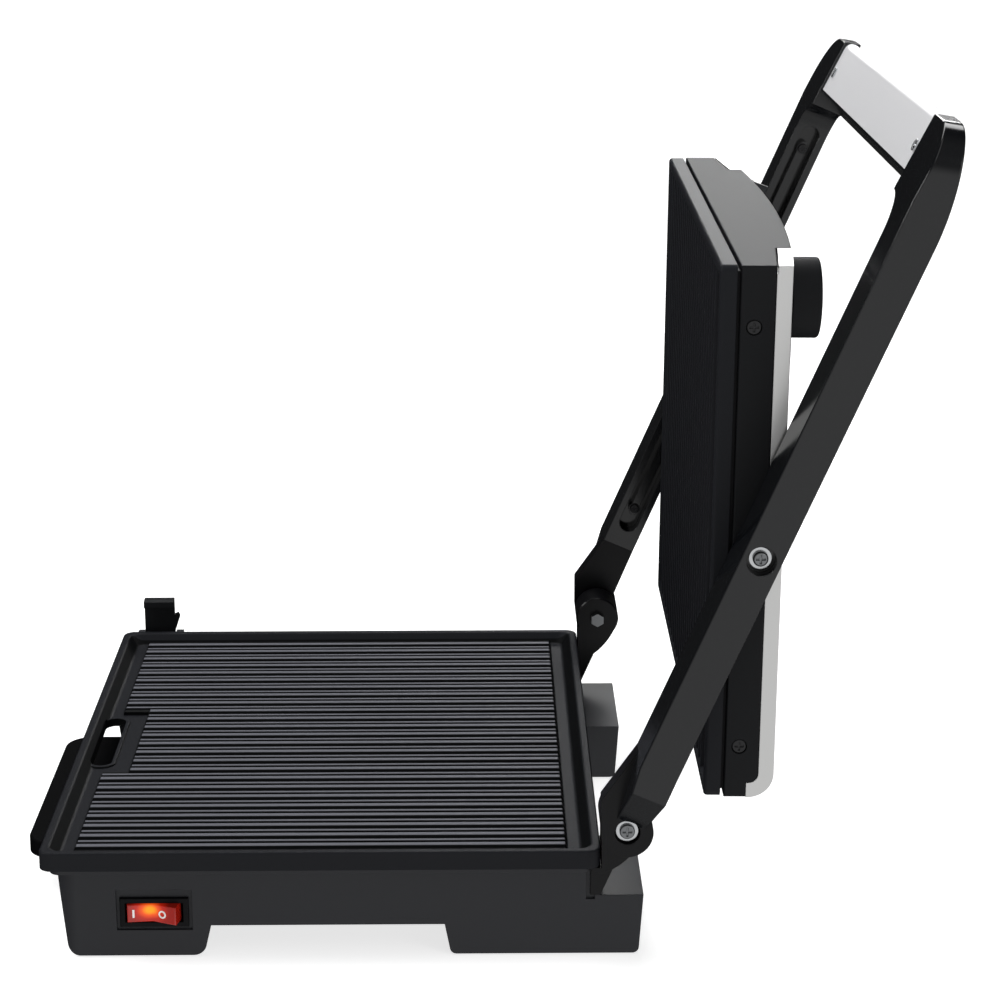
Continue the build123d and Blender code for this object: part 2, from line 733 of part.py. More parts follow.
def hingeBracket():
    """Right bracket: flange on the base's back wall and the eye that carries the hinge screw."""
    clear = plate_back + body_gap + 0.1
    low = body_top + 0.4
    top = plate_under - 0.4
    eye_back = (hinge_y + ear_radius, hinge_z)
    under = (hinge_y + 0.4 * ear_radius, hinge_z - 1.22 * ear_radius)
    foot = (clear + 1.0, low)
    edges = [Line((lip_back, low), (lip_back, top)), Line((lip_back, top), (clear, top)),
             Line((clear, top), (clear, hinge_z - ear_radius * 0.45)),
             Line((clear, hinge_z - ear_radius * 0.45), (hinge_y, hinge_z)),
             Line((hinge_y, hinge_z), eye_back), ThreePointArc(eye_back, under, foot),
             Line(foot, (lip_back, low))]
    web = drawn(Plane.YZ.offset(ear_inner), make_face(edges), ear_outer - ear_inner)
    eye = rodX(ear_radius, (ear_inner, ear_outer), hinge_y, hinge_z)
    eye = chamfer(eye.edges().filter_by(GeomType.CIRCLE), 0.7)
    flange = block((bracket_inner, body_half), (lip_back, lip_back + bracket_flange), (tower_top, body_top))
    rib = sideShape([(lip_back, tower_top), (lip_back, low + 1), (hinge_y - 2, low + 4),
                     (lip_back + bracket_flange + 1, tower_top)], (ear_inner, body_half))
    bracket = web + eye + flange + rib
    bracket -= rodX(hinge_screw_radius + seat_gap, (ear_inner - 1, ear_outer + 1), hinge_y, hinge_z)
    for x, z in bracketScrewPlaces():
        bracket -= rodY(bracket_screw_radius + seat_gap, x, (lip_back - 1, lip_back + bracket_flange + 1), z)
    return bracket


def bracketScrews():
    screw = headedScrew(bracket_screw_radius, bracket_flange + wall + 3, bracket_screw_head, 2.2)
    place = [Pos(x, lip_back + bracket_flange, z) * Rot(-90, 0, 0) * screw for x, z in bracketScrewPlaces()]
    return place + [mirrored(s) for s in place]


def hingeScrew():
    """Shoulder screw with a nut inside the ear; the arm turns on it."""
    end = hinge_seat + body_gap + hinge_washer_thick
    screw = rodX(hinge_screw_radius, (ear_inner, end), hinge_y, hinge_z)
    nut = drawn(Plane(origin=(ear_inner - hinge_nut_thick, hinge_y, hinge_z), z_dir=(1, 0, 0)),
                RegularPolygon(hinge_nut, 6), hinge_nut_thick)
    head = Pos(end, hinge_y, hinge_z) * Rot(0, 90, 0) * crossHead(hinge_head + 0.9, hinge_head_thick, 0.9)
    return screw + nut + head


def hingeWasher():
    start = hinge_seat + body_gap
    span = (start, start + hinge_washer_thick)
    return ringX(hinge_washer, hinge_screw_radius + seat_gap, span, hinge_y, hinge_z)


def hingeSpacer():
    return ringX(spacer_radius + 1, hinge_screw_radius + seat_gap, (ear_outer, arm_inner - body_gap),
                 hinge_y, hinge_z)


# ---------------------------------------------------------------- arms
def armSlots():
    return [(lower_slot_start, tilt_reach - slot_margin),
            (tilt_reach + slot_margin, grip_start - slot_to_grip)]


def armBlank():
    """Right arm with the corner that turns into the grip."""
    view = Plane(origin=arm_plane.origin, x_dir=(1, 0, 0), z_dir=(0, arm_dir[1], -arm_dir[0]))
    top = arm_reach
    # the view plane's Y axis runs down the arm, so lengths are negative in it
    outline = Polygon((arm_inner, 0), (arm_outer, 0), (arm_outer, -top), (grip_half, -top),
                      (grip_half, -grip_start), (arm_inner, -grip_start), align=None)
    shoulder = [v for v in outline.vertices() if abs(v.X - arm_outer) < 0.1 and v.Y < -top + 0.1]
    outline = fillet(shoulder, arm_shoulder)
    outline = fillet([v for v in outline.vertices() if abs(v.X - arm_inner) < 0.1
                      and abs(v.Y + grip_start) < 0.1], arm_hollow)
    return drawn(view.offset(-arm_front), outline, arm_front + arm_back)


def arm():
    """Right arm."""
    body = armBlank()
    # shape the grip's end like the grip: lean its front and back faces in
    trims = gripTrims((grip_half - 1, arm_outer + 1))
    for trim in trims:
        body -= trim
    long_edges = [e for e in body.edges() if e.length > 2 * arm_thick]
    outer = [e for e in long_edges if e.center().X > (arm_inner + arm_outer) / 2]
    body = fillet(outer, arm_edge)
    # lower end: taper to a round boss, heel on the inner half
    body -= armShape([(-20, -30), (-20, 30), (boss_bevel_start + 12, 30), (boss_bevel_start + 12, -30)],
                     (arm_inner - 1, arm_outer + 1))
    end = boss_bevel_start + 12
    tongue = armShape([(0, boss_radius), (end + 0.5, arm_front), (end + 0.5, -arm_back), (0, -boss_radius)],
                      (arm_inner, arm_outer - arm_edge * 0.3))
    tongue += rodX(boss_radius, (arm_inner, arm_outer - 5), hinge_y, hinge_z)
    body += tongue
    wedge = Polygon((-30, heel_outer), (4, heel_outer), (boss_bevel_start, arm_outer),
                    (boss_bevel_start, arm_outer + 20), (-30, arm_outer + 20), align=None)
    side = Plane(origin=arm_plane.origin, x_dir=(0, arm_dir[0], arm_dir[1]),
                 z_dir=(0, arm_dir[1], -arm_dir[0]))
    body -= drawn(side.offset(-2 * arm_front), wedge, 4 * arm_front)
    body += heel()
    return finishArm(body)


def heel():
    """Cam at the foot of the arm's inner half; its flat front faces the base when the lid is open."""
    front = hinge_y - heel_radius
    block_top = hinge_z + heel_block
    disc = rodX(heel_radius, (arm_inner, heel_outer), hinge_y, hinge_z)
    shoulder_y, shoulder_z = onArm(heel_radius * 3.2, arm_front)
    plate = sideShape([(front, hinge_z), (front, block_top), (shoulder_y, shoulder_z),
                       onArm(heel_radius * 3.2, -arm_back), onArm(0, -boss_radius), (hinge_y, hinge_z)],
                      (arm_inner, heel_outer))
    return disc + plate


def finishArm(body):
    """Holes, recesses and slots in the arm."""
    body -= rodX(hinge_screw_radius + running_gap, (arm_inner - 1, arm_outer), hinge_y, hinge_z)
    body -= rodX(boss_radius - 0.9, (hinge_seat, arm_outer + 1), hinge_y, hinge_z)
    body -= rodX(tilt_screw_radius + running_gap, (arm_inner - 1, arm_outer), tilt_y, tilt_z)
    body -= rodX(tilt_recess_radius, (arm_outer - tilt_recess_depth, arm_outer + 1), tilt_y, tilt_z)
    for start, end in armSlots():
        middle = (start + end) / 2
        slot = Pos(middle, arm_mid) * SlotOverall(end - start, slot_width)
        body -= drawn(arm_plane.offset(arm_inner - 1), slot, slot_depth + 1)
    for along in barScrewPlaces():
        y, z = onArm(along, arm_mid)
        body -= rodX(bar_screw_radius + seat_gap, (arm_inner, arm_inner + slot_depth + 6), y, z)
    return body


def barScrewPlaces():
    places = []
    for start, end in armSlots():
        places.append(start + bar_end_gap + bar_screw_inset)
        places.append(end - bar_end_gap - bar_screw_inset)
    return places


def stiffenerBars():
    """Steel bars screwed into the recesses of the right arm."""
    bars = []
    for start, end in armSlots():
        middle = (start + end) / 2
        length = end - start - 2 * bar_end_gap
        shape = Pos(middle, arm_mid) * SlotOverall(length, bar_width)
        floor = arm_inner + slot_depth
        bar = drawn(arm_plane.offset(floor - bar_thick), shape, bar_thick)
        for along in (start + bar_end_gap + bar_screw_inset, end - bar_end_gap - bar_screw_inset):
            y, z = onArm(along, arm_mid)
            boss = rodX(bar_screw_head + 0.5, (floor - bar_thick, floor), y, z)
            bar += boss
            bar -= rodX(bar_screw_radius + seat_gap, (floor - bar_thick - 1, floor + 1), y, z)
        bars.append(bar)
    return bars


def barScrews():
    face = arm_inner + slot_depth - bar_thick
    screw = headedScrew(bar_screw_radius, bar_thick + 5, bar_screw_head, 1.5)
    screws = []
    for along in barScrewPlaces():
        y, z = onArm(along, arm_mid)
        screws.append(Pos(face, y, z) * Rot(0, -90, 0) * screw)
    return screws


# ---------------------------------------------------------------- grip
def gripSection(inset):
    """Section of the grip in arm length and forward distance."""
    low_front = grip_start + grip_front_rise + inset * 0.3
    top = arm_reach - inset
    points = [(grip_start + inset, -grip_back + inset), (low_front, grip_front - inset),
              (top - 1.5, grip_front - 1.6 - inset), (top, grip_front - 8),
              (top - 9, -grip_back + 3.2 + inset * 0.8)]
    outline = Polygon(*points, align=None)
    tops = sorted(outline.vertices(), key=lambda v: -v.X)[:2]
    return fillet(tops, sleeve_round - inset)


def gripTrims(x):
    """Wedges that bring the arm's shoulder down to the grip's section."""
    far = 2 * arm_thick
    beyond = arm_reach + 1
    low = arm_reach - trim_start
    back = armShape([(low, -arm_back), (beyond, 1.2), (beyond, -far), (low, -far)], x)
    step = grip_start + grip_front_rise
    front = armShape([(step, arm_front), (step + 4, grip_front + 0.4), (beyond, grip_front - 1.4),
                      (beyond, far), (step, far)], x)
    return [back, front]


def gripSolid(inset, half):
    return drawn(arm_plane.offset(-half), gripSection(inset), 2 * half)


def sleeveRegion():
    """Space of the steel sleeve: front face and top of the grip."""
    start = grip_start + grip_front_rise + 1.2
    return armShape([(start, 30), (arm_reach + 10, 30), (arm_reach + 10, -30), (arm_reach - 12, -30),
                     (arm_reach - 12, 0), (start, grip_front - 3)], (-grip_half, grip_half))


def gripCore():
    core = gripSolid(0, grip_half)
    core -= sleeveShell()
    for place in gripScrewFrames():
        core -= place * Pos(0, 0, -5) * Cylinder(grip_screw_radius + seat_gap, 12)
    return core


def sleeveShell():
    shell = gripSolid(0, grip_half) - gripSolid(sleeve_thick, grip_half + 1)
    return shell & sleeveRegion()


def gripScrewFrames():
    """Places on the grip's front face, facing outwards."""
    y, z = onArm(grip_start + grip_front_rise + 12, grip_front - 0.75)
    lean = degrees(atan2(1.6, arm_reach - 1.5 - grip_start - grip_front_rise)) + arm_lean
    return [Pos(sx * (grip_half - grip_screw_inset), y, z) * Rot(90 - lean, 0, 0) for sx in (-1, 1)]


def gripSleeve():
    shell = sleeveShell()
    for place in gripScrewFrames():
        shell -= place * Pos(0, 0, 0) * Cylinder(grip_screw_radius + seat_gap, 12)
    return shell


def gripScrews():
    screw = headedScrew(grip_screw_radius, 9, grip_screw_head, 0.9)
    return [place * Pos(0, 0, 0.08) * screw for place in gripScrewFrames()]


# ---------------------------------------------------------------- lid
# The lid is drawn shut: its rim plane is Z 0, its rear end is Y 0 and its front end is Y -lid_length.
def lidSection(inset, low):
    """Section of the lid across X, with the domed top."""
    half = lid_half - inset
    edge = cover_edge - inset
    crown = cover_crown - inset
    outline = make_face([Line((-half, low), (half, low)), Line((half, low), (half, edge)),
                         ThreePointArc((half, edge), (0, crown), (-half, edge)),
                         Line((-half, edge), (-half, low))])
    corners = [v for v in outline.vertices() if v.Y > low + 1]
    return fillet(corners, max(lid_edge_round - inset, 0.8))


def lidBlock(inset, low):
    """Lid drawn along its length, shrunk by inset at both ends and at its sides and top."""
    return drawn(Plane.XZ.offset(inset), lidSection(inset, low), lid_length - 2 * inset)


def roundRear(solid, radius):
    """Round the top edge at the rear end."""
    rear = solid.faces().sort_by(Axis.Y)[-1]
    edges = [e for e in rear.edges() if e.center().Z > cover_low]
    return fillet(edges, radius)


def housingTop(gap):
    """Room under the cover's side strip; the strip turns down round its rear corner."""
    inner_round = lid_cover_round - lid_trim
    room = block((-lid_half - gap, lid_half + gap), (-lid_length - gap, -lid_trim - gap),
                 (wrap_low - 1, cover_low + gap))
    corner = [e for e in room.edges().filter_by(Axis.X) if e.center().Y > -lid_length / 2
              and e.center().Z > cover_low - 1]
    return fillet(corner, inner_round)


def coverShell():
    outer = roundRear(lidBlock(0, wrap_low), lid_cover_round)
    inner = roundRear(lidBlock(lid_cover_thick, wrap_low - 1), lid_cover_round - lid_cover_thick)
    return outer - inner - housingTop(0)


def fasciaSolid(gap):
    """Arched black panel in the front end of the lid."""
    half = fascia_half + gap
    front = block((-half, half), (-lid_length - 1, -lid_length + fascia_thick + gap),
                  (housing_low, cover_crown + 1))
    return lidBlock(0, housing_low) & front


def lidCover():
    """Stainless cover: domed sheet that wraps the rear end and the sides."""
    cover = coverShell()
    cover -= fasciaSolid(panel_gap)
    cover -= dialHole(shaft_radius + 1.0)
    return cover


def lidHousing():
    """Black moulded frame between the cooking plate and the cover, with the arched front panel."""
    frame = block((-lid_half, lid_half), (-lid_length, 0), (housing_low, wrap_low)) + housingTop(0)
    seam = block((-lid_half + lid_seam_inset, lid_half - lid_seam_inset),
                 (-lid_length + lid_seam_inset, -lid_seam_inset), (lid_rim, housing_low))
    frame += seam
    frame -= block((-lid_half + lid_seam_inset + lid_wall, lid_half - lid_seam_inset - lid_wall),
                   (-lid_length + lid_seam_inset + lid_wall, -lid_seam_inset - lid_wall),
                   (lid_rim - 1, cover_low + 1))
    frame += fasciaSolid(0)
    boss_x = (lid_half - lid_seam_inset - lid_wall - 6, lid_half - lid_seam_inset)
    boss = rodX(7.0, boss_x, -tilt_from_rear, tilt_depth) & block((0, lid_half), (-lid_length, 0),
                                                                  (lid_rim + 1, cover_low))
    frame += both(boss)
    for y in sideScrewPlaces():
        stub = (lid_half - lid_seam_inset - lid_wall - 8, lid_half - lid_seam_inset)
        frame += both(rodX(side_screw_radius + 1.8, stub, y, side_screw_depth)
                      & block((0, lid_half), (-lid_length, 0), (lid_rim + 1, lid_post_top - 0.4)))
    for x, y in lidPostPlaces():
        frame += block((min(x, x * 1.2), max(x, x * 1.2)), (y - 3, y + 3), (housing_low, housing_low + 4)) \
            & block((-lid_half + 4, lid_half - 4), (-lid_length + 4, -4), (lid_rim, cover_low))
        frame += rodZ(lid_post_radius, x, y, (lid_rim, lid_post_top))
        frame -= rodZ(plate_screw_radius + seat_gap, x, y, (lid_rim - 1, lid_post_top + 1))
    for sx in (-1, 1):
        span = sorted((sx * (lid_half - 16), sx * (lid_half + 1)))
        frame -= rodX(tilt_screw_radius + seat_gap, span, -tilt_from_rear, tilt_depth)
        for y in sideScrewPlaces():
            near = sorted((sx * (lid_half - 12), sx * (lid_half + 1)))
            frame -= rodX(side_screw_radius + seat_gap, near, y, side_screw_depth)
            near = sorted((sx * (lid_half - 1.6), sx * (lid_half + 1)))
            frame -= rodX(side_screw_recess, near, y, side_screw_depth)
    return frame


def lidPostPlaces():
    x = lid_half - 14
    return [(sx * x, y) for sx in (-1, 1) for y in (-lid_post_inset, lid_post_inset - lid_length)]


def sideScrewPlaces():
    return (-side_screw_inset_back, -lid_length + side_screw_inset_front)


def sideScrews():
    screw = headedScrew(side_screw_radius, 9, side_screw_head, 1.3)
    right = [Pos(lid_half - 1.6, y, side_screw_depth) * Rot(0, 90, 0) * screw for y in sideScrewPlaces()]
    return right + [mirrored(s) for s in right]


def lidPlate():
    """Lid's cooking plate: ribs face down and stop at the rim plane."""
    plate = block((-lid_half, lid_half), (-lid_length, 0), (0, lid_rim))
    plate = fillet(plate.edges().filter_by(Axis.Z), 3.0)
    plate = chamfer(plate.edges().group_by(Axis.Z)[0], 1.6)
    inset = rim_width + rim_slope
    margin = 9.0
    mouth = Rectangle(lid_width - 2 * rim_width, lid_length - margin)
    floor = Rectangle(lid_width - 2 * inset, lid_length - margin - 4)
    middle = -lid_length / 2
    plate -= loft([Pos(0, middle, 0) * mouth, Pos(0, middle, lid_floor_drop) * floor], ruled=True)
    low = lid_floor_drop - lid_rib_height
    rib_end = 2.0
    ribs = []
    for x in ribPlaces(lid_width - 2 * inset):
        section = Polygon((x - rib_base / 2, lid_floor_drop), (x - rib_top / 2, low), (x + rib_top / 2, low),
                          (x + rib_base / 2, lid_floor_drop), align=None)
        ribs.append(drawn(Plane.XZ.offset(rib_end), section, lid_length - 2 * rib_end))
    plate += ribs
    for x, y in lidPostPlaces():
        plate -= rodZ(plate_screw_radius + seat_gap, x, y, (lid_rim - plate_screw_bite, lid_rim + 1))
    return plate


def lidPlateScrews():
    screw = headedScrew(plate_screw_radius, lid_post_top - lid_rim + plate_screw_bite, plate_screw_head, 2.0)
    return [Pos(x, y, lid_post_top) * screw for x, y in lidPostPlaces()]


def lidElement():
    z = lid_rim + element_gap + element_radius
    return heatingElement(z, lid_post_inset - lid_length, -lid_post_inset, lid_half - element_margin)


def lidReflector():
    """Heat shield that rests on the posts, under the cover."""
    low = lid_post_top
    half = lid_half - lid_seam_inset - lid_wall - panel_gap
    shield = block((-half, half), (-lid_length + lid_seam_inset + lid_wall + panel_gap,
                                   -lid_seam_inset - lid_wall - panel_gap), (low, low + sheet))
    for x, y in lidPostPlaces():
        shield -= rodZ(plate_screw_head + panel_gap, x, y, (low - 1, low + 2))
    for sx in (-1, 1):
        edge = sx * (lid_half - lid_seam_inset)
        span = sorted((edge - sx * 16, edge + sx))
        for y in sideScrewPlaces() + (-tilt_from_rear,):
            shield -= block(span, (y - 8, y + 8), (low - 1, low + 2))
    return shield


def dialHole(radius):
    return rodZ(radius, 0, -dial_from_rear, (cover_low, pad_top + 20))


def dialPad():
    """Raised pad on the cover that carries the knob and the two lamps."""
    y0 = -dial_from_rear - dial_pad_head
    y1 = -dial_from_rear + dial_pad_tail
    outline = Pos(0, (y0 + y1) / 2) * RectangleRounded(dial_pad_width, y1 - y0, dial_pad_width / 2 - 2)
    pad = extrude(Pos(0, 0, cover_edge) * outline, pad_top - cover_edge)
    pad = fillet(pad.edges().group_by(Axis.Z)[-1], dial_pad_rise * 0.6)
    pad -= lidBlock(0, cover_low)
    pad -= dialHole(shaft_radius + 1.0)
    for x, y in lensPlaces():
        pad -= rodZ(lens_radius + seat_gap, x, y, (pad_top - 3, pad_top + 5))
    return pad


def lensPlaces():
    return [(sx * lens_spacing / 2, -dial_from_rear + lens_from_knob) for sx in (-1, 1)]


def lens():
    stub = rodZ(lens_radius, 0, 0, (pad_top - 3, pad_top + lens_rise))
    stub = fillet(stub.edges().sort_by(Axis.Z)[-1], lens_rise * 0.7)
    return stub


def readyLens():
    x, y = lensPlaces()[1]
    return Pos(x, y, 0) * lens()


def powerLens():
    x, y = lensPlaces()[0]
    return Pos(x, y, 0) * lens()


def knob():
    """Temperature knob with a finger pointer, hollow below, socket for the shaft."""
    low = pad_top + body_gap
    top = low + knob_height
    y = -dial_from_rear
    body = rodZ(knob_radius, 0, y, (low, top))
    body = fillet(body.edges().sort_by(Axis.Z)[-1], knob_edge)
    body -= rodZ(knob_radius - knob_wall, 0, y, (low - 1, top - knob_wall))
    body += rodZ(shaft_radius + 2.2, 0, y, (low, top - knob_wall))
    body -= rodZ(shaft_radius + running_gap, 0, y, (low - 1, top - 2 * knob_wall))
    body -= block((-pointer_width / 2, pointer_width / 2), (y - knob_radius - 1, y - knob_radius * 0.35),
                  (top - 0.5, top + 1))
    return body


def thermostat():
    """Thermostat under the cover, with the shaft that the knob turns on."""
    y = -dial_from_rear
    seat = cover_crown - lid_cover_thick - crownDrop(thermostat_radius)
    low = seat - thermostat_height
    body = rodZ(thermostat_radius, 0, y, (low, seat))
    body += rodZ(shaft_radius + 0.7, 0, y, (seat, cover_crown - 0.4))
    body += rodZ(shaft_radius, 0, y, (seat, pad_top + body_gap + knob_height - 2 * knob_wall - 0.4))
    for sx in (-1, 1):
        body += block((sx * 6 - 2.5, sx * 6 + 2.5), (y - 1, y + 1), (low - terminal_tab, low))
    return body


def crownDrop(x):
    """How far the domed cover falls away at x from its middle."""
    return crown_radius - (crown_radius ** 2 - x ** 2) ** 0.5 + 0.1


def tiltScrew():
    """Shoulder screw from the arm's outer recess into the lid's side boss."""
    seat = arm_outer - tilt_recess_depth + body_gap + tilt_washer_thick
    shank = rodX(tilt_screw_radius, (lid_half - 10, seat), tilt_y, tilt_z)
    head = Pos(seat, tilt_y, tilt_z) * Rot(0, 90, 0) * crossHead(tilt_head + 0.6, tilt_head_thick, 0.9)
    return shank + head


def tiltWasher():
    start = arm_outer - tilt_recess_depth + body_gap
    span = (start, start + tilt_washer_thick)
    return ringX(tilt_washer, tilt_screw_radius + seat_gap, span, tilt_y, tilt_z)


def tiltSpacer():
    span = (lid_half, arm_inner - body_gap)
    return ringX(spacer_radius, tilt_screw_radius + seat_gap, span, tilt_y, tilt_z)


# ---------------------------------------------------------------- storage latch, left side
latch_y0 = plate_front + latch_front
latch_pin_z = rim_top - latch_pin_drop
latch_pin_x = -(latch_x + latch_thick / 2)
latch_screw_z = body_top - 9.0


def latchScrewPlaces():
    middle = latch_y0 + latch_width / 2
    return (middle - 7, middle + 7)


def latchBracket():
    """Arm under the plate's left rim that carries the latch pin between two cheeks."""
    y0 = latch_y0 - latch_ear - body_gap
    y1 = latch_y0 + latch_width + latch_ear + body_gap
    outer = latch_pin_x - latch_thick / 2 - 3
    top = plate_under - lip_height - 0.4
    low = top - bracket_thick
    arm_block = block((outer, -body_half), (y0, y1), (low - 6, low + bracket_thick - 3))
    arm_block = fillet([e for e in arm_block.edges().filter_by(Axis.Y) if e.center().X < -body_half - 1], 3.0)
    cheeks = []
    for ys in ((y0, y0 + latch_ear), (y1 - latch_ear, y1)):
        cheeks.append(block((outer, -half_width - 1.2), ys, (low, latch_pin_z + 4.4)))
    bracket = arm_block + cheeks
    bracket -= rodY(latch_pin_radius + seat_gap, latch_pin_x, (y0 - 1, y1 + 1), latch_pin_z)
    for y in latchScrewPlaces():
        bracket -= rodX(bracket_screw_radius + seat_gap, (outer - 1, -body_half + 1), y, latch_screw_z)
        bracket -= rodX(bracket_screw_head + panel_gap, (outer - 1, -body_half - 6), y, latch_screw_z)
    return bracket


def latchScrews():
    screw = headedScrew(bracket_screw_radius, 6 + wall + 3, bracket_screw_head, 2.0)
    return [Pos(-body_half - 6, y, latch_screw_z) * Rot(0, -90, 0) * screw for y in latchScrewPlaces()]


def latchPin():
    y0 = latch_y0 - latch_ear - body_gap
    y1 = latch_y0 + latch_width + latch_ear + body_gap
    return rodY(latch_pin_radius, latch_pin_x, (y0 - 0.6, y1 + 0.6), latch_pin_z)


def latch():
    """Tab that swings inwards over the keeper on the left arm."""
    y = (latch_y0, latch_y0 + latch_width)
    top = rim_top + latch_top
    inner = -latch_x
    outer = inner - latch_thick
    tab = block((outer, inner), y, (latch_pin_z, top))
    tip = inner + latch_nose
    under = top - latch_nose_tall
    root = inner - 1
    beak = Polygon((root, top), (inner, top), (tip, top - 0.8), (tip, under), (root, under), align=None)
    nose = drawn(Plane.XZ.offset(-y[1]), beak, latch_width)
    barrel = rodY(latch_thick / 2 + 1.0, latch_pin_x, y, latch_pin_z)
    thumb = sideShape([(y[1], latch_pin_z + 5), (y[1] + 3.0, latch_pin_z + 14),
                       (y[1] + 2.0, latch_pin_z + 16), (y[1], latch_pin_z + 15)], (outer, inner))
    body = tab + nose + barrel + thumb
    return body - rodY(latch_pin_radius + running_gap, latch_pin_x, (y[0] - 1, y[1] + 5), latch_pin_z)


def latchKeeper():
    """Hooked foot under the left arm that the latch nose swings over when the lid is shut."""
    turn = radians(close_turn)
    y = (latch_y0 + 1, latch_y0 + latch_width - 1)
    nose_tip = -latch_x + latch_nose
    foot_top = rim_top + latch_top - latch_nose_tall - keeper_grip
    foot = (nose_tip + body_gap + 0.2, nose_tip + body_gap + 0.2 + keeper_reach)
    web = block((foot[1] - keeper_web, foot[1]), y, (foot_top - keeper_thick, rim_top + latch_top + 12))
    hook = block(foot, y, (foot_top - keeper_thick, foot_top))
    keeper = web + hook
    # drawn where it is when the lid is shut, then swung open with the arm
    axis = Axis((0, hinge_y, hinge_z), (1, 0, 0))
    keeper = keeper.rotate(axis, -close_turn)
    above = armShape([(0, arm_front), (arm_reach, arm_front), (arm_reach, -arm_reach), (0, -arm_reach)],
                     (-arm_outer - 5, 0))
    return keeper - above


# ---------------------------------------------------------------- the whole press
def placed(part):
    """Swing a piece of the lid from its drawn place to its open place."""
    return lid_place * part


def build():
    right_arm = arm()
    bars = stiffenerBars()
    bar_screws = barScrews()
    nodes = {
        "base_housing": [baseHousing()],
        "lower_plate": [lowerPlate()],
        "plate_screws": plateScrews(),
        "lower_element": [lowerElement()],
        "lower_heat_shield": [lowerReflector()],
        "service_cover": [serviceCover()],
        "service_cover_screws": coverScrews(),
        "rubber_feet": rubberFeet(),
        "cord_gland": [cordGland()],
        "terminal_block": [terminalBlock()],
        "switch_case": [switchBezel()],
        "switch_rocker": [switchRocker()],
        "drip_tray": [dripTray()],
        "hinge_bracket_right": [hingeBracket()],
        "hinge_bracket_left": [mirrored(hingeBracket())],
        "hinge_bracket_screws": bracketScrews(),
        "hinge_screws": both(hingeScrew()),
        "hinge_washers": both(hingeWasher()),
        "hinge_spacers": both(hingeSpacer()),
        "arm_right": [right_arm],
        "arm_left": [mirrored(right_arm)],
        "arm_stiffeners": bars + [mirrored(b) for b in bars],
        "stiffener_screws": bar_screws + [mirrored(s) for s in bar_screws],
        "grip_core": [gripCore()],
        "grip_sleeve": [gripSleeve()],
        "grip_screws": gripScrews(),
        "latch_keeper": [latchKeeper()],
        "tilt_screws": both(tiltScrew()),
        "tilt_washers": both(tiltWasher()),
        "tilt_spacers": both(tiltSpacer()),
        "lid_plate": [placed(lidPlate())],
        "lid_plate_screws": [placed(s) for s in lidPlateScrews()],
        "lid_element": [placed(lidElement())],
        "lid_heat_shield": [placed(lidReflector())],
        "lid_housing": [placed(lidHousing())],
        "lid_side_screws": [placed(s) for s in sideScrews()],
        "lid_cover": [placed(lidCover())],
        "dial_pad": [placed(dialPad())],
        "power_lens": [placed(powerLens())],
        "ready_lens": [placed(readyLens())],
        "thermostat": [placed(thermostat())],
        "knob": [placed(knob())],
        "latch_bracket": [latchBracket()],
        "latch_bracket_screws": latchScrews(),
        "latch_pin": [latchPin()],
        "latch": [latch()],
    }
    return nodes


def export(nodes):
    os.makedirs("parts", exist_ok=True)
    for name, pieces in nodes.items():
        solids = [s for piece in pieces for s in piece.solids()]
        export_step(Compound(children=solids), os.path.join("parts", name + ".step"))
        print(name, len(solids))


export(build())
print("lid_hinge at", round(hinge_y, 3), round(hinge_z, 3), "closes by", round(close_turn, 3))
print("upper_tilt at", round(tilt_y, 3), round(tilt_z, 3), "turns by", round(tilt_turn, 3))
print("knob axis through y z", round((lid_place * Pos(0, -dial_from_rear, 0)).position.Y, 3),
      round((lid_place * Pos(0, -dial_from_rear, 0)).position.Z, 3))
print("rocker axis", round(rocker_x, 3), round(switch_y, 3))
print("latch pin", round(latch_pin_x, 3), round(latch_pin_z, 3))
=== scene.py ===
import json
from math import asin, cos, degrees, hypot, pi, radians, sin, tan

import bmesh
import bpy
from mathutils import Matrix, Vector


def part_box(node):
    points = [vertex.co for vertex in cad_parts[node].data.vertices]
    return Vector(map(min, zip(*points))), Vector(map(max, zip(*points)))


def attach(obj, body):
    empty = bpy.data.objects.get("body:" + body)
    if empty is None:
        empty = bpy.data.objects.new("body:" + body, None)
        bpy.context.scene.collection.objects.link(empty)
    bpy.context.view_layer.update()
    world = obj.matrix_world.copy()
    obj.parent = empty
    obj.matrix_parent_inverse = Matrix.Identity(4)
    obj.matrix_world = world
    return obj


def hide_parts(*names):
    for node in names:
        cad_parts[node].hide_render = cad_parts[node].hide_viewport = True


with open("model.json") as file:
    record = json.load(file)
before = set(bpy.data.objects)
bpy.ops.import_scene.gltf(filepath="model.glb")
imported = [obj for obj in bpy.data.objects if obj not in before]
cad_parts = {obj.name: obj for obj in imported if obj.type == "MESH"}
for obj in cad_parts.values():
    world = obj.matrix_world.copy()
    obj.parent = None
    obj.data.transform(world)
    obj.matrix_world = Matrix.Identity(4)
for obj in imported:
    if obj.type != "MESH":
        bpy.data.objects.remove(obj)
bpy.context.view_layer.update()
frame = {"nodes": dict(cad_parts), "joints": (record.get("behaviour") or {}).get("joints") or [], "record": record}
mm = 0.001
joints = {joint["name"]: joint for joint in frame["joints"]}
print("frame loaded")


# selecting and editing, all in metres
def deselectAll():
    if bpy.context.object and bpy.context.object.mode != "OBJECT":
        bpy.ops.object.mode_set(mode="OBJECT")
    bpy.ops.object.select_all(action="DESELECT")


def pick(piece):
    deselectAll()
    piece.select_set(True)
    bpy.context.view_layer.objects.active = piece


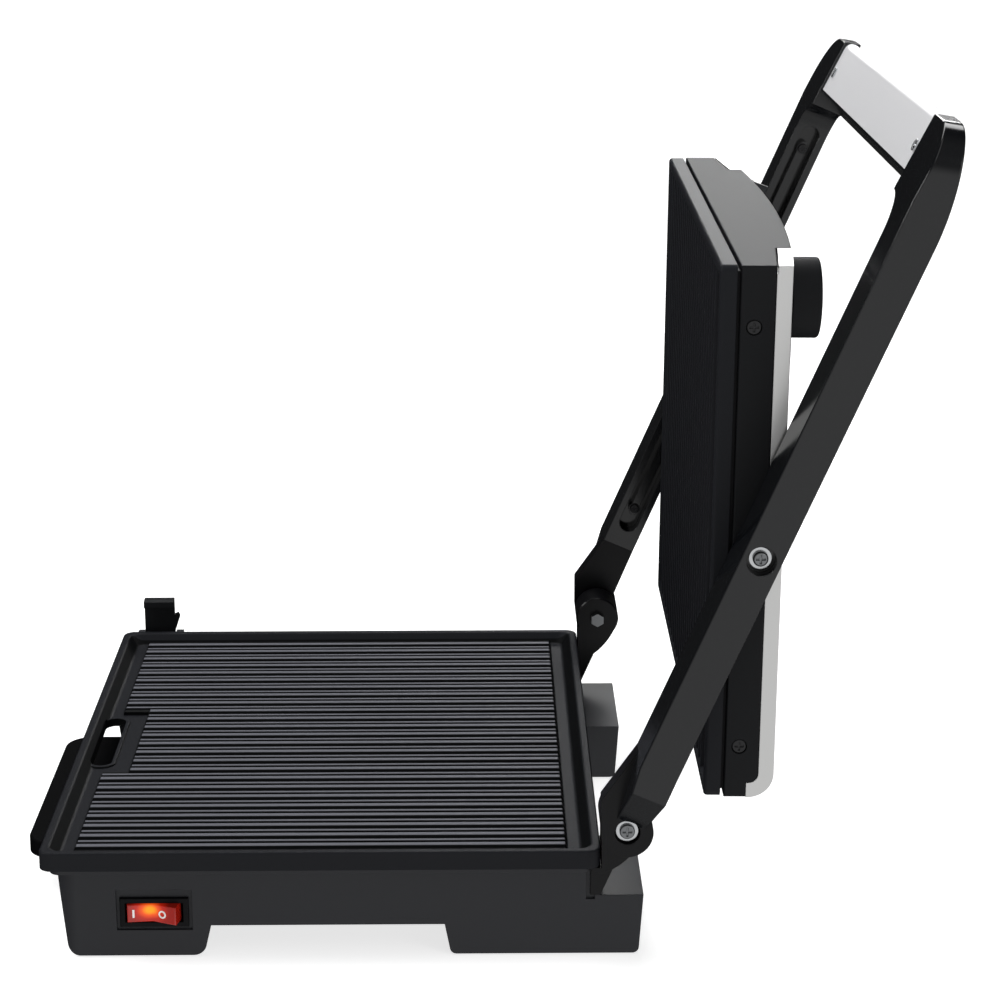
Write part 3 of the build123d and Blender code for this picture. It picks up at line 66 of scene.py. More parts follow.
def edit(piece, kind, test):
    pick(piece)
    bpy.ops.object.mode_set(mode="EDIT")
    bpy.ops.mesh.select_mode(type=kind)
    bpy.ops.mesh.select_all(action="DESELECT")
    mesh = bmesh.from_edit_mesh(piece.data)
    mesh.normal_update()
    parts = {"VERT": mesh.verts, "EDGE": mesh.edges, "FACE": mesh.faces}[kind]
    for part in parts:
        part.select_set(bool(test(part)))
    mesh.select_flush_mode()
    bmesh.update_edit_mesh(piece.data)


def middle(part):
    return sum((v.co for v in part.verts), Vector()) / len(part.verts)


def sharp(edge, least=25):
    return len(edge.link_faces) == 2 and degrees(edge.calc_face_angle(0)) > least


def alongX(edge):
    return abs(edge.verts[0].co.x - edge.verts[1].co.x) > mm


def upright(edge):
    return abs(edge.verts[0].co.z - edge.verts[1].co.z) > 2 * mm


def softenEdges(piece, width, segments, test=lambda edge: True, least=25):
    edit(piece, "EDGE", lambda edge: sharp(edge, least) and test(edge))
    bpy.ops.mesh.bevel(offset=width, segments=segments, affect="EDGES", clamp_overlap=True)
    bpy.ops.object.mode_set(mode="OBJECT")


def addBlock(name, low, high):
    deselectAll()
    low, high = Vector(low), Vector(high)
    bpy.ops.mesh.primitive_cube_add(size=1, location=(low + high) / 2)
    piece = bpy.context.object
    piece.name = name
    piece.scale = high - low
    bpy.ops.object.transform_apply(location=True, rotation=True, scale=True)
    return piece


def addRod(name, radius, start, end, sides=64):
    deselectAll()
    start, end = Vector(start), Vector(end)
    turn = (end - start).to_track_quat("Z", "Y").to_euler()
    bpy.ops.mesh.primitive_cylinder_add(vertices=sides, radius=radius, depth=(end - start).length,
                                        location=(start + end) / 2, rotation=turn)
    piece = bpy.context.object
    piece.name = name
    bpy.ops.object.transform_apply(location=True, rotation=True, scale=True)
    return piece


def useModifier(piece, kind, **settings):
    pick(piece)
    modifier = piece.modifiers.new(kind.title(), kind)
    for key, value in settings.items():
        setattr(modifier, key, value)
    bpy.ops.object.modifier_apply(modifier=modifier.name)


def combine(piece, other, operation):
    useModifier(piece, "BOOLEAN", object=other, operation=operation, solver="EXACT")
    bpy.data.objects.remove(other)


def copyPiece(piece, name, shift=(0, 0, 0)):
    pick(piece)
    bpy.ops.object.duplicate(linked=False)
    twin = bpy.context.object
    twin.name = name
    twin.location = shift
    bpy.ops.object.transform_apply(location=True, rotation=True, scale=True)
    return twin


def mirrorPiece(piece, name):
    twin = copyPiece(piece, name)
    pick(twin)
    twin.scale.x = -1
    bpy.ops.object.transform_apply(location=True, rotation=True, scale=True)
    faceOutwards(twin)
    return twin


def faceOutwards(piece):
    edit(piece, "FACE", lambda face: True)
    bpy.ops.mesh.normals_make_consistent(inside=False)
    bpy.ops.object.mode_set(mode="OBJECT")


def joinPieces(name, pieces):
    deselectAll()
    for piece in pieces:
        piece.select_set(True)
    bpy.context.view_layer.objects.active = pieces[0]
    if len(pieces) > 1:
        bpy.ops.object.join()
    pieces[0].name = name
    return pieces[0]


def placePiece(piece, place, lean):
    pick(piece)
    piece.location = place
    piece.rotation_euler.x = lean
    bpy.ops.object.transform_apply(location=True, rotation=True, scale=True)
    return piece


def addPrism(name, outline, low, high):
    # outline in Y and Z, drawn out along X
    deselectAll()
    bpy.ops.mesh.primitive_circle_add(vertices=len(outline), fill_type="NGON")
    piece = bpy.context.object
    piece.name = name
    edit(piece, "VERT", lambda vert: True)
    mesh = bmesh.from_edit_mesh(piece.data)
    for vert, (y, z) in zip(sorted(mesh.verts, key=lambda v: v.index), outline):
        vert.co = (low, y, z)
    bmesh.update_edit_mesh(piece.data)
    bpy.ops.mesh.extrude_region_move(TRANSFORM_OT_translate={"value": (high - low, 0, 0)})
    bpy.ops.object.mode_set(mode="OBJECT")
    faceOutwards(piece)
    return piece


def addCapsule(name, radius, start, end, shift, sides=32):
    # a round bar from start to end whose one half is moved by shift, as a milling cutter leaves a slot
    piece = addRod(name, radius, start, end, sides)
    centre, way = (Vector(start) + Vector(end)) / 2, Vector(shift)
    edit(piece, "VERT", lambda vert: (vert.co - centre).dot(way) > 1e-9)
    bpy.ops.transform.translate(value=shift)
    bpy.ops.object.mode_set(mode="OBJECT")
    return piece


def cutFlat(piece, place, normal):
    # everything on the normal's side goes, and the cut is closed
    edit(piece, "FACE", lambda face: True)
    bpy.ops.mesh.bisect(plane_co=place, plane_no=normal, clear_outer=True, use_fill=True)
    bpy.ops.object.mode_set(mode="OBJECT")


def finishPiece(piece, material, body, replaced=(), smooth=35):
    pick(piece)
    bpy.ops.object.shade_smooth_by_angle(angle=radians(smooth))
    useModifier(piece, "WEIGHTED_NORMAL", keep_sharp=True, weight=80)
    piece.data.materials.clear()
    piece.data.materials.append(material)
    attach(piece, body)
    if replaced:
        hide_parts(*replaced)
    return piece


# sizes of the lower cooking plate, which its coating uses too
ribs = {"pitch": 11.4 * mm, "base": 6.2 * mm, "top": 3.4 * mm, "round": 0.6 * mm, "endRun": 1.4 * mm,
        "sunk": 0.1}
lowRibs = {"base": 4.4 * mm, "top": 2.2 * mm, "height": 2.6 * mm}
lowerPlate = {"rim": 3.2 * mm, "slope": 5.0 * mm, "drop": 5.4 * mm, "corner": 6.0 * mm, "edge": 0.9 * mm,
              "innerCorner": 5.0 * mm, "floorRound": 1.2 * mm, "ribHeight": 3.0 * mm, "valley": 1.7 * mm,
              "fieldSlope": 1.2 * mm, "frontMargin": 13.6 * mm, "backMargin": 14.0 * mm}
drain = {"length": 64.0 * mm, "width": 10.5 * mm, "fromFront": 6.6 * mm, "shift": 4.0 * mm,
         "lip": 2.0 * mm, "lipHeight": 0.9 * mm, "lipRound": 0.6 * mm,
         "clearTo": 26.4 * mm, "clearHalf": 40.8 * mm, "clearShift": 5.7 * mm}


# colours and shader nodes
def hexColour(code):
    channels = [int(code[i:i + 2], 16) / 255 for i in (1, 3, 5)]
    linear = [c / 12.92 if c <= 0.04045 else ((c + 0.055) / 1.055) ** 2.4 for c in channels]
    return (*linear, 1.0)


def addNode(material, kind, values=None, links=None, **settings):
    node = material.node_tree.nodes.new(kind)
    for key, value in settings.items():
        setattr(node, key, value)
    for socket, value in (values or {}).items():
        node.inputs[socket].default_value = value
    for socket, source in (links or {}).items():
        material.node_tree.links.new(source, node.inputs[socket])
    return node


def newMaterial(name, **look):
    material = bpy.data.materials.new(name)
    material.use_nodes = True
    shader = material.node_tree.nodes["Principled BSDF"]
    for socket, value in look.items():
        shader.inputs[socket.replace("_", " ")].default_value = value
    return material, shader


def grain(material, shader, size, height, strength, edge=0.0, stretch=(1, 1, 1), detail=2.0):
    coords = addNode(material, "ShaderNodeTexCoord")
    mapping = addNode(material, "ShaderNodeMapping", {"Scale": [s / size for s in stretch]},
                      {"Vector": coords.outputs["Object"]})
    noise = addNode(material, "ShaderNodeTexNoise", {"Scale": 1.0, "Detail": detail, "Roughness": 0.6},
                    {"Vector": mapping.outputs[0]})
    bump = addNode(material, "ShaderNodeBump", {"Strength": strength, "Distance": height},
                   {"Height": noise.outputs["Fac"]})
    if edge:
        worn = addNode(material, "ShaderNodeBevel", {"Radius": edge}, samples=4)
        material.node_tree.links.new(worn.outputs[0], bump.inputs["Normal"])
    material.node_tree.links.new(bump.outputs[0], shader.inputs["Normal"])
    return noise


def mouldedAbs():
    # ABS, injection moulded in a spark-eroded tool: even, matte, a fine grain that scatters the light
    material, shader = newMaterial("mouldedBlackAbs", Base_Color=hexColour("#1e1f23"), Roughness=0.45,
                                   IOR=1.53, Specular_IOR_Level=0.3)
    grain(material, shader, 0.8 * mm, 0.03 * mm, 0.35, edge=0.5 * mm)
    return material


def matteLidAbs():
    # heat-resistant ABS for the lid and knob, darker and flatter than the base: painted shade, the base's ABS made
    # darker to stand in for the shade on the lid
    material, shader = newMaterial("shadeDarkenedAbs", Base_Color=hexColour("#121315"), Roughness=0.55,
                                   IOR=1.53, Specular_IOR_Level=0.12)
    grain(material, shader, 0.7 * mm, 0.03 * mm, 0.35, edge=0.5 * mm)
    return material


def glossAbs():
    # ABS from a polished tool: near black, clear soft reflections
    material, shader = newMaterial("polishedBlackAbs", Base_Color=hexColour("#0c0d0f"), Roughness=0.14,
                                   IOR=1.53, Specular_IOR_Level=0.43)
    grain(material, shader, 14 * mm, 0.05 * mm, 0.12, edge=0.6 * mm)
    return material


# the crest colour is a painted highlight on the lower plate's rib tops, and the pan colour is painted shade in its
# hollow
coating = {"dark": "#141518", "light": "#222327", "crest": "#55565c", "walls": "#1a1b1e", "pan": "#08090a",
           "crestSheenRise": 0.2 * mm, "crestSheenReach": 0.5 * mm, "valleyShadeDrop": 0.9 * mm, "valleyShadeReach": 0.4 * mm}


def nonStick():
    # cast aluminium under sprayed non-stick: dark grey, satin, with a speckled skin
    s = coating
    material, shader = newMaterial("sprayedNonStick", Roughness=0.48, IOR=1.38, Specular_IOR_Level=0.12)
    noise = grain(material, shader, 0.7 * mm, 0.03 * mm, 0.35, edge=0.5 * mm)
    ramp = addNode(material, "ShaderNodeValToRGB", links={"Fac": noise.outputs["Fac"]})
    dark, light = ramp.color_ramp.elements
    dark.position, dark.color = 0.45, hexColour(s["dark"])
    light.position, light.color = 0.75, hexColour(s["light"])
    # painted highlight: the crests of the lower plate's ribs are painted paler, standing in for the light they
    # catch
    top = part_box("lower_plate")[1]
    crest = top.z - lowerPlate["drop"] + lowRibs["height"]
    coords = addNode(material, "ShaderNodeTexCoord")
    place = addNode(material, "ShaderNodeSeparateXYZ", links={"Vector": coords.outputs["Object"]})
    facing = addNode(material, "ShaderNodeSeparateXYZ", links={"Vector": coords.outputs["Normal"]})
    level = addNode(material, "ShaderNodeMath", {1: crest + s["crestSheenRise"], 2: s["crestSheenReach"]},
                    {0: place.outputs["Z"]}, operation="COMPARE")
    upward = addNode(material, "ShaderNodeMapRange", {"From Min": 0.8, "From Max": 0.97},
                     {"Value": facing.outputs["Z"]})
    share = addNode(material, "ShaderNodeMath", links={0: level.outputs[0], 1: upward.outputs[0]},
                    operation="MULTIPLY")
    # faces that don't face up, and the valley floors between the ribs, take an even colour without the speckle;
    # painted shade: inside the lower plate's hollow that colour is near black, standing in for the shade on its
    # walls, the rib flanks and the valley floors
    valley = addNode(material, "ShaderNodeMath", {1: crest - s["valleyShadeDrop"], 2: s["valleyShadeReach"]},
                     {0: place.outputs["Z"]}, operation="COMPARE")
    unshadedTops = addNode(material, "ShaderNodeMath", links={0: upward.outputs[0], 1: valley.outputs[0]},
                      operation="SUBTRACT", use_clamp=True)
    inside = addNode(material, "ShaderNodeMath", {1: 0.0, 2: top.x - 2 * lowerPlate["rim"]},
                     {0: place.outputs["X"]}, operation="COMPARE")
    below = addNode(material, "ShaderNodeMath", {1: top.z + mm}, {0: place.outputs["Z"]},
                    operation="LESS_THAN")
    # painted shade: inside the lower plate's hollow these faces take the near-black pan colour
    pan = addNode(material, "ShaderNodeMath", links={0: inside.outputs[0], 1: below.outputs[0]},
                  operation="MULTIPLY")
    walls = addNode(material, "ShaderNodeMix", {6: hexColour(s["walls"]), 7: hexColour(s["pan"])},
                    {0: pan.outputs[0]}, data_type="RGBA")
    coat = addNode(material, "ShaderNodeMix",
                   links={0: unshadedTops.outputs[0], 6: walls.outputs[2], 7: ramp.outputs[0]}, data_type="RGBA")
    # painted highlight: the pale crest colour laid over the rib tops
    paintedCrestSheen = addNode(material, "ShaderNodeMix", {7: hexColour(s["crest"])},
                     {0: share.outputs[0], 6: coat.outputs[2]}, data_type="RGBA")
    material.node_tree.links.new(paintedCrestSheen.outputs[2], shader.inputs["Base Color"])
    return material


def brushedSteel():
    # stainless sheet brushed along the lid: pale, satin, fine lines across the light
    material, shader = newMaterial("brushedStainless", Base_Color=hexColour("#d3d3d2"), Metallic=1.0,
                                   Roughness=0.34)
    grain(material, shader, 0.35 * mm, 0.01 * mm, 0.25, edge=0.4 * mm, stretch=(0.01, 1, 1))
    return material


def zincSteel():
    # zinc-plated steel screws: bright, slightly grey
    material, shader = newMaterial("zincPlatedSteel", Base_Color=hexColour("#c8cacc"), Metallic=1.0,
                                   Roughness=0.2)
    grain(material, shader, 0.5 * mm, 0.01 * mm, 0.15, edge=0.2 * mm)
    return material


glow = {"lamp": (4.5 * mm, -1.8 * mm, 1.6 * mm), "spread": (9 * mm, 9.5 * mm, 7 * mm), "strength": 0.8,
        "stops": ((0.0, "#4a0a05"), (0.35, "#9c1c0a"), (0.6, "#f05a12"), (0.82, "#ffb400"))}


def litRed():
    # translucent red polycarbonate, polished, with a neon lamp behind: yellow over the lamp and
    # deep red at the ends
    material, shader = newMaterial("litRedPolycarbonate", Base_Color=hexColour("#8e1207"), Roughness=0.12,
                                   IOR=1.58, Emission_Strength=glow["strength"])
    lamp = Vector(joints["rocker_press"]["pos_m"]) + Vector(glow["lamp"])
    spread = glow["spread"]
    coords = addNode(material, "ShaderNodeTexCoord")
    mapping = addNode(material, "ShaderNodeMapping",
                      {"Location": [-c / w for c, w in zip(lamp, spread)], "Scale": [1 / w for w in spread]},
                      {"Vector": coords.outputs["Object"]})
    ball = addNode(material, "ShaderNodeTexGradient", links={"Vector": mapping.outputs[0]},
                   gradient_type="SPHERICAL")
    ramp = addNode(material, "ShaderNodeValToRGB", links={"Fac": ball.outputs["Fac"]})
    for stop, (place, colour) in enumerate(glow["stops"]):
        element = ramp.color_ramp.elements[stop] if stop < 2 else ramp.color_ramp.elements.new(place)
        element.position, element.color = place, hexColour(colour)
    material.node_tree.links.new(ramp.outputs[0], shader.inputs["Emission Color"])
    return material


def mouldedFinish(name, code, roughness, specular=0.5, size=1.2 * mm, height=0.03 * mm):
    # small moulded parts: one colour that shifts a little over the surface, under a fine skin
    material, shader = newMaterial(name, Roughness=roughness, Specular_IOR_Level=specular)
    noise = grain(material, shader, size, height, 0.3, edge=0.3 * mm)
    base = hexColour(code)
    ramp = addNode(material, "ShaderNodeValToRGB", links={"Fac": noise.outputs["Fac"]})
    dark, light = ramp.color_ramp.elements
    dark.position, dark.color = 0.35, [c * 0.85 for c in base[:3]] + [1]
    light.position, light.color = 0.65, base
    material.node_tree.links.new(ramp.outputs[0], shader.inputs["Base Color"])
    return material


def satinSteel():
    # stainless sleeve, bead blasted and clear lacquered: the lacquer scatters, so it stays flat pale grey
    material, shader = newMaterial("blastedLacqueredSteel", Base_Color=hexColour("#e8e8ea"), Metallic=0.5,
                                   Roughness=0.5)
    grain(material, shader, 0.3 * mm, 0.01 * mm, 0.2, edge=0.3 * mm, stretch=(0.02, 1, 1))
    return material


def wornZincSteel():
    # zinc-plated screw heads under an oily film: greyer than the washers round them
    material, shader = newMaterial("oiledZincSteel", Base_Color=hexColour("#7c7e80"), Metallic=1.0,
                                   Roughness=0.3)
    grain(material, shader, 0.6 * mm, 0.02 * mm, 0.2, edge=0.3 * mm)
    return material


def blackenedSteel():
    # steel screws with a black oxide skin: dark, slightly shiny
    material, shader = newMaterial("blackOxideSteel", Base_Color=hexColour("#2a2a2b"), Metallic=0.7,
                                   Roughness=0.35)
    grain(material, shader, 0.5 * mm, 0.02 * mm, 0.2, edge=0.3 * mm)
    return material


moulded, matte, polished, coated = mouldedAbs(), matteLidAbs(), glossAbs(), nonStick()
steel, satin, zinc = brushedSteel(), satinSteel(), zincSteel()
oxide, duller, red = blackenedSteel(), wornZincSteel(), litRed()
# the hinge's steel plates and cams: smooth black paint, darker than the arms
painted = mouldedFinish("blackPaintedSteel", "#09090b", 0.3, 0.2)
finishes = {
    "black_housing": moulded, "gloss_black": polished, "knob_black": moulded, "cooking_coating": coated,
    "brushed_steel": steel, "zinc_steel": zinc, "element_steel": zinc, "arm_bars": polished,
    "bracket_metal": painted, "spacer_nylon": painted, "switch_red": red, "latch": matte,
    "drip_tray": mouldedFinish("texturedBlackPolypropylene", "#050506", 0.6, 0.04),
    "foot_rubber": mouldedFinish("mouldedRubber", "#141414", 0.75, 0.2),
    "amber_lens": mouldedFinish("amberPolycarbonate", "#c9701a", 0.2),
    "green_lens": mouldedFinish("greenPolycarbonate", "#2c7d40", 0.2),
    "terminal_plastic": mouldedFinish("mouldedUrea", "#cfc8ba", 0.5),
    "switch_case": mouldedFinish("texturedNylon", "#0b0b0d", 0.5, 0.12),
    "lid_side_screws": oxide, "stiffener_screws": oxide, "hinge_screws": duller, "tilt_screws": duller}
ink = mouldedFinish("whitePadPrint", "#f2f0ee", 0.6, 0.3, 0.4 * mm, 0.01 * mm)
slotOf = {part["node"]: part["material_slot"] for part in frame["record"]["subparts"]}
for name, node in frame["nodes"].items():
    node.data.materials.clear()
    node.data.materials.append(finishes.get(name) or finishes[slotOf[name]])
print("materials ready")

# cooking plates
def ribPlaces(width):
    count = int(width // ribs["pitch"])
    count -= 1 - count % 2
    return [(i - (count - 1) / 2) * ribs["pitch"] for i in range(count)]


def makeRibs(places, front, back, floorZ, height, base=ribs["base"], top=ribs["top"]):
    # one rib is modelled on X 0 and copied to each place; its crest is height above the floor,
    # or below it on the upper plate
    low, high = sorted((floorZ - height * ribs["sunk"], floorZ + height))
    rib = addBlock("rib", (-base / 2, front, low), (base / 2, back, high))
    crest = floorZ + height
    edit(rib, "FACE", lambda face: abs(middle(face).z - crest) < 1e-6)
    bpy.ops.transform.resize(value=(top / base, 1 - 2 * ribs["endRun"] / (back - front), 1))
    softenEdges(rib, ribs["round"], 3, lambda edge: abs(middle(edge).z - crest) < 1e-6)
    copies = [copyPiece(rib, "rib", (x, 0, 0)) for x in places]
    bpy.data.objects.remove(rib)
    return copies


def makePan(low, high):
    # the hollow of the lower plate, ready to be cut out of it; its floor is smaller than its mouth
    s = lowerPlate
    rim, floorZ = s["rim"], high.z - s["drop"]
    pan = addBlock("panCutter", (low.x + rim, low.y + rim, floorZ), (high.x - rim, high.y - rim, high.z + mm))
    softenEdges(pan, s["innerCorner"], 6, upright)
    edit(pan, "FACE", lambda face: face.normal.z < -0.9)
    bpy.ops.transform.resize(value=(1 - 2 * s["slope"] / (high.x - low.x - 2 * rim),
                                    1 - 2 * s["slope"] / (high.y - low.y - 2 * rim), 1))
    softenEdges(pan, s["floorRound"], 3, lambda edge: abs(middle(edge).z - floorZ) < 1e-5)
    return pan


def makeValleyFloor(left, right, front, back, floorZ):
    # the raised ground that the ribs stand on, sloping down to the pan's floor at its front and back
    s = lowerPlate
    block = addBlock("valleyFloor", (left, front, floorZ - mm), (right, back, floorZ + s["valley"]))
    edit(block, "FACE", lambda face: face.normal.z > 0.9)
    bpy.ops.transform.resize(value=(1, 1 - 2 * s["fieldSlope"] / (back - front), 1))
    bpy.ops.object.mode_set(mode="OBJECT")
    return block


def makeLowerPlate():
    low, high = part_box("lower_plate")
    s = lowerPlate
    plate = addBlock("lowerCookingPlate", low, high)
    softenEdges(plate, s["corner"], 6, upright)
    # the pan reaches above the rim, so its mouth is a little wider than the rim's inner edge
    combine(plate, makePan(low, high), "DIFFERENCE")
    softenEdges(plate, s["edge"], 3, lambda edge: middle(edge).z > high.z - 1e-5)
    floorZ = high.z - s["drop"]
    slotY = low.y + drain["fromFront"] + drain["width"] / 2
    run = drain["length"] - drain["width"]
    slotX = drain["shift"] - run / 2
    lip = addCapsule("drainLip", drain["width"] / 2 + drain["lip"], (slotX, slotY, floorZ - mm),
                     (slotX, slotY, floorZ + drain["lipHeight"]), (run, 0, 0))
    softenEdges(lip, drain["lipRound"], 3, lambda edge: middle(edge).z > floorZ)
    combine(plate, lip, "UNION")
    cutter = addCapsule("drainCutter", drain["width"] / 2, (slotX, slotY, low.z - mm),
                        (slotX, slotY, high.z + mm), (run, 0, 0))
    combine(plate, cutter, "DIFFERENCE")
    left, right = low.x + s["rim"] + s["slope"], high.x - s["rim"] - s["slope"]
    fieldFront, fieldBack = low.y + s["frontMargin"], high.y - s["backMargin"]
    # no ribs round the drain slot
    clear = low.y + drain["clearTo"]
    clearLeft, clearRight = drain["clearShift"] - drain["clearHalf"], drain["clearShift"] + drain["clearHalf"]
    pieces = [plate, makeValleyFloor(left, right, clear, fieldBack, floorZ)]
    for start, end in ((left, clearLeft), (clearRight, right)):
        pieces.append(makeValleyFloor(start, end, fieldFront, clear + 2 * s["fieldSlope"], floorZ))
    wide = ribPlaces(right - left)
    narrow = [x + ribs["pitch"] / 2 for x in wide[:-1]]
    for places, shape in ((wide, (s["ribHeight"], ribs["base"], ribs["top"])),
                          (narrow, (lowRibs["height"], lowRibs["base"], lowRibs["top"]))):
        cut = [x for x in places if clearLeft < x < clearRight]
        whole = [x for x in places if x not in cut]
        pieces += makeRibs(whole, fieldFront, fieldBack, floorZ, *shape)
        pieces += makeRibs(cut, clear, fieldBack, floorZ, *shape)
    joinPieces("lowerCookingPlate", pieces)
    return finishPiece(plate, coated, "base", ["lower_plate"])


makeLowerPlate()
print("lower cooking plate made")

# lid, modelled shut: its rim plane is Z 0 and its rear end Y 0, then stood up where the lid rests
lidLean = asin(joints["knob_turn"]["axis"][2])
lid = {"half": 150.5 * mm, "length": 238.0 * mm, "rim": 7.3 * mm, "seamTop": 8.9 * mm, "seamInset": 3.0 * mm,
       "sideTop": 23.9 * mm, "trimTop": 30.6 * mm, "crown": 8.0 * mm, "rearRound": 11.0 * mm,
       "edgeRound": 3.0 * mm, "fasciaHalf": 110.0 * mm, "fasciaThick": 3.0 * mm, "fasciaGap": 0.4 * mm,
       "shoulderRise": 3.9 * mm, "wallFoot": 18.6 * mm, "wallBack": 6.7 * mm, "wallRound": 4.3 * mm,
       "wallEdge": 0.7 * mm, "knobFromRear": 194.0 * mm, "padTop": 47.2 * mm, "arcSteps": 48}
# the knob's axis crosses the rim plane at knobFromRear, which gives the lid's rear end
lidTurn = -pi / 2 - lidLean
knobPlace = Vector(joints["knob_turn"]["pos_m"])
lidPlace = knobPlace - Vector((0, -lid["knobFromRear"] * cos(lidTurn), -lid["knobFromRear"] * sin(lidTurn)))


def onLid(piece):
    return placePiece(piece, lidPlace, lidTurn)


def crownAt(x):
    radius = (lid["half"] ** 2 + lid["crown"] ** 2) / (2 * lid["crown"])
    return lid["trimTop"] + lid["crown"] - radius + (radius ** 2 - x ** 2) ** 0.5


def domedBlock(name, half, front, back, low):
    # a block whose top follows the lid's crown, in slices across X
    block = addBlock(name, (-half, front, low), (half, back, lid["trimTop"]))
    edit(block, "EDGE", alongX)
    bpy.ops.mesh.subdivide(number_cuts=lid["arcSteps"] - 1)
    mesh = bmesh.from_edit_mesh(block.data)
    for vert in mesh.verts:
        if vert.co.z > lid["trimTop"] - 1e-6:
            vert.co.z = crownAt(vert.co.x)
    bmesh.update_edit_mesh(block.data)
    bpy.ops.object.mode_set(mode="OBJECT")
    return block


upperPlate = {"drop": 4.4 * mm, "rim": 3.2 * mm, "slope": 5.0 * mm, "endRim": 4.5 * mm, "endSlope": 2.0 * mm,
              "ribHeight": 4.0 * mm, "ribEnd": 2.0 * mm, "corner": 3.0 * mm, "edge": 1.6 * mm}


def makeUpperPlate():
    s = upperPlate
    plate = addBlock("upperCookingPlate", (-lid["half"], -lid["length"], 0), (lid["half"], 0, lid["rim"]))
    softenEdges(plate, s["corner"], 4, upright)
    softenEdges(plate, s["edge"], 3, lambda edge: middle(edge).z < 1e-6)
    cutter = addBlock("plateCutter", (-lid["half"] + s["rim"], -lid["length"] + s["endRim"], -mm * 0.01),
                      (lid["half"] - s["rim"], -s["endRim"], s["drop"]))
    edit(cutter, "FACE", lambda face: face.normal.z > 0.9)
    bpy.ops.transform.resize(value=(1 - 2 * s["slope"] / (2 * lid["half"] - 2 * s["rim"]),
                                    1 - 2 * s["endSlope"] / (lid["length"] - 2 * s["endRim"]), 1))
    bpy.ops.object.mode_set(mode="OBJECT")
    combine(plate, cutter, "DIFFERENCE")
    places = ribPlaces(2 * (lid["half"] - s["rim"] - s["slope"]))
    joinPieces("upperCookingPlate", [plate] + makeRibs(places, s["ribEnd"] - lid["length"], -s["ribEnd"],
                                                       s["drop"], -s["ribHeight"]))
    faceOutwards(plate)
    onLid(plate)
    return finishPiece(plate, coated, "lid", ["lid_plate"])


makeUpperPlate()
print("upper cooking plate made")

# lid housing and cover
sideScrews = {"fromRear": 23.8 * mm, "fromFront": 26.4 * mm, "rise": 15.0 * mm, "recess": 3.4 * mm,
              "depth": 1.6 * mm}


def frontShoulder(name, gap):
    # the arched front reaches out to the lid's sides in a low slope on each side
    s = lid
    inner, outer = s["fasciaHalf"] - mm, s["half"] + 2 * gap
    slope = s["shoulderRise"] / (s["half"] - s["fasciaHalf"])
    block = addBlock(name, (inner, -s["length"] - gap, s["sideTop"] - 2 * mm),
                     (outer, -s["length"] + s["fasciaThick"] + gap, s["sideTop"] + gap))
    edit(block, "VERT", lambda vert: vert.co.z > s["sideTop"] - mm and vert.co.x < s["half"] - mm)
    bpy.ops.transform.translate(value=(0, 0, slope * (s["half"] - inner)))
    bpy.ops.object.mode_set(mode="OBJECT")
    return joinPieces(name, [mirrorPiece(block, name), block])


def roundWallEnds(block):
    # the side walls turn down at the back, where the steel runs over them
    softenEdges(block, lid["wallRound"], 6, lambda edge: middle(edge).z > lid["sideTop"] - 1e-6
                and middle(edge).y > -lid["wallBack"] - mm and alongX(edge))


def makeLidHousing():
    s = lid
    shell = addBlock("lidHousing", (-s["half"], -s["length"], s["seamTop"]), (s["half"], 0, s["wallFoot"]))
    upper = addBlock("sideWalls", (-s["half"], -s["length"], s["wallFoot"]),
                     (s["half"], -s["wallBack"], s["sideTop"]))
    roundWallEnds(upper)
    combine(shell, upper, "UNION")
    fascia = domedBlock("archedFront", s["fasciaHalf"], -s["length"], -s["length"] + s["fasciaThick"],
                        s["sideTop"] - mm)
    combine(shell, fascia, "UNION")
    combine(shell, frontShoulder("frontShoulder", 0.0), "UNION")
    softenEdges(shell, s["wallEdge"], 3, lambda edge: middle(edge).y < -s["length"] + 1e-5
                or abs(abs(middle(edge).x) - s["half"]) < 1e-5, 60)
    seam = addBlock("shadowSeam", (-s["half"] + s["seamInset"], -s["length"] + s["seamInset"], s["rim"]),
                    (s["half"] - s["seamInset"], -s["seamInset"], s["seamTop"] + mm))
    combine(shell, seam, "UNION")
    for side in (-1, 1):
        for y in (-sideScrews["fromRear"], sideScrews["fromFront"] - s["length"]):
            recess = addRod("screwRecess", sideScrews["recess"],
                            (side * (s["half"] - sideScrews["depth"]), y, sideScrews["rise"]),
                            (side * (s["half"] + mm), y, sideScrews["rise"]), 32)
            combine(shell, recess, "DIFFERENCE")
    onLid(shell)
    return finishPiece(shell, matte, "lid", ["lid_housing"])


def makeLidCover():
    s = lid
    low = s["wallFoot"]
    outer = domedBlock("lidCover", s["half"], -s["length"], 0, low)
    softenEdges(outer, s["rearRound"], 12, lambda edge: middle(edge).y > -1e-6
                and middle(edge).z > s["trimTop"] - mm, 50)
    softenEdges(outer, s["edgeRound"], 4, lambda edge: abs(abs(middle(edge).x) - s["half"]) < 1e-5
                and middle(edge).z > s["trimTop"] - 2 * mm and middle(edge).y < -s["rearRound"] - mm, 50)
    room = addBlock("housingRoom", (-s["half"] - mm, -s["length"] - mm, low - mm),
                    (s["half"] + mm, -s["wallBack"], s["sideTop"]))
    roundWallEnds(room)
    combine(outer, room, "DIFFERENCE")
    front = addBlock("fasciaRoom", (-s["fasciaHalf"] - s["fasciaGap"], -s["length"] - mm, low - mm),
                     (s["fasciaHalf"] + s["fasciaGap"], -s["length"] + s["fasciaThick"] + s["fasciaGap"],
                      s["trimTop"] + s["crown"] + mm))
    combine(outer, front, "DIFFERENCE")
    combine(outer, frontShoulder("shoulderRoom", s["fasciaGap"]), "DIFFERENCE")
    onLid(outer)
    return finishPiece(outer, steel, "lid", ["lid_cover"])


makeLidHousing()
makeLidCover()
print("lid housing and cover made")

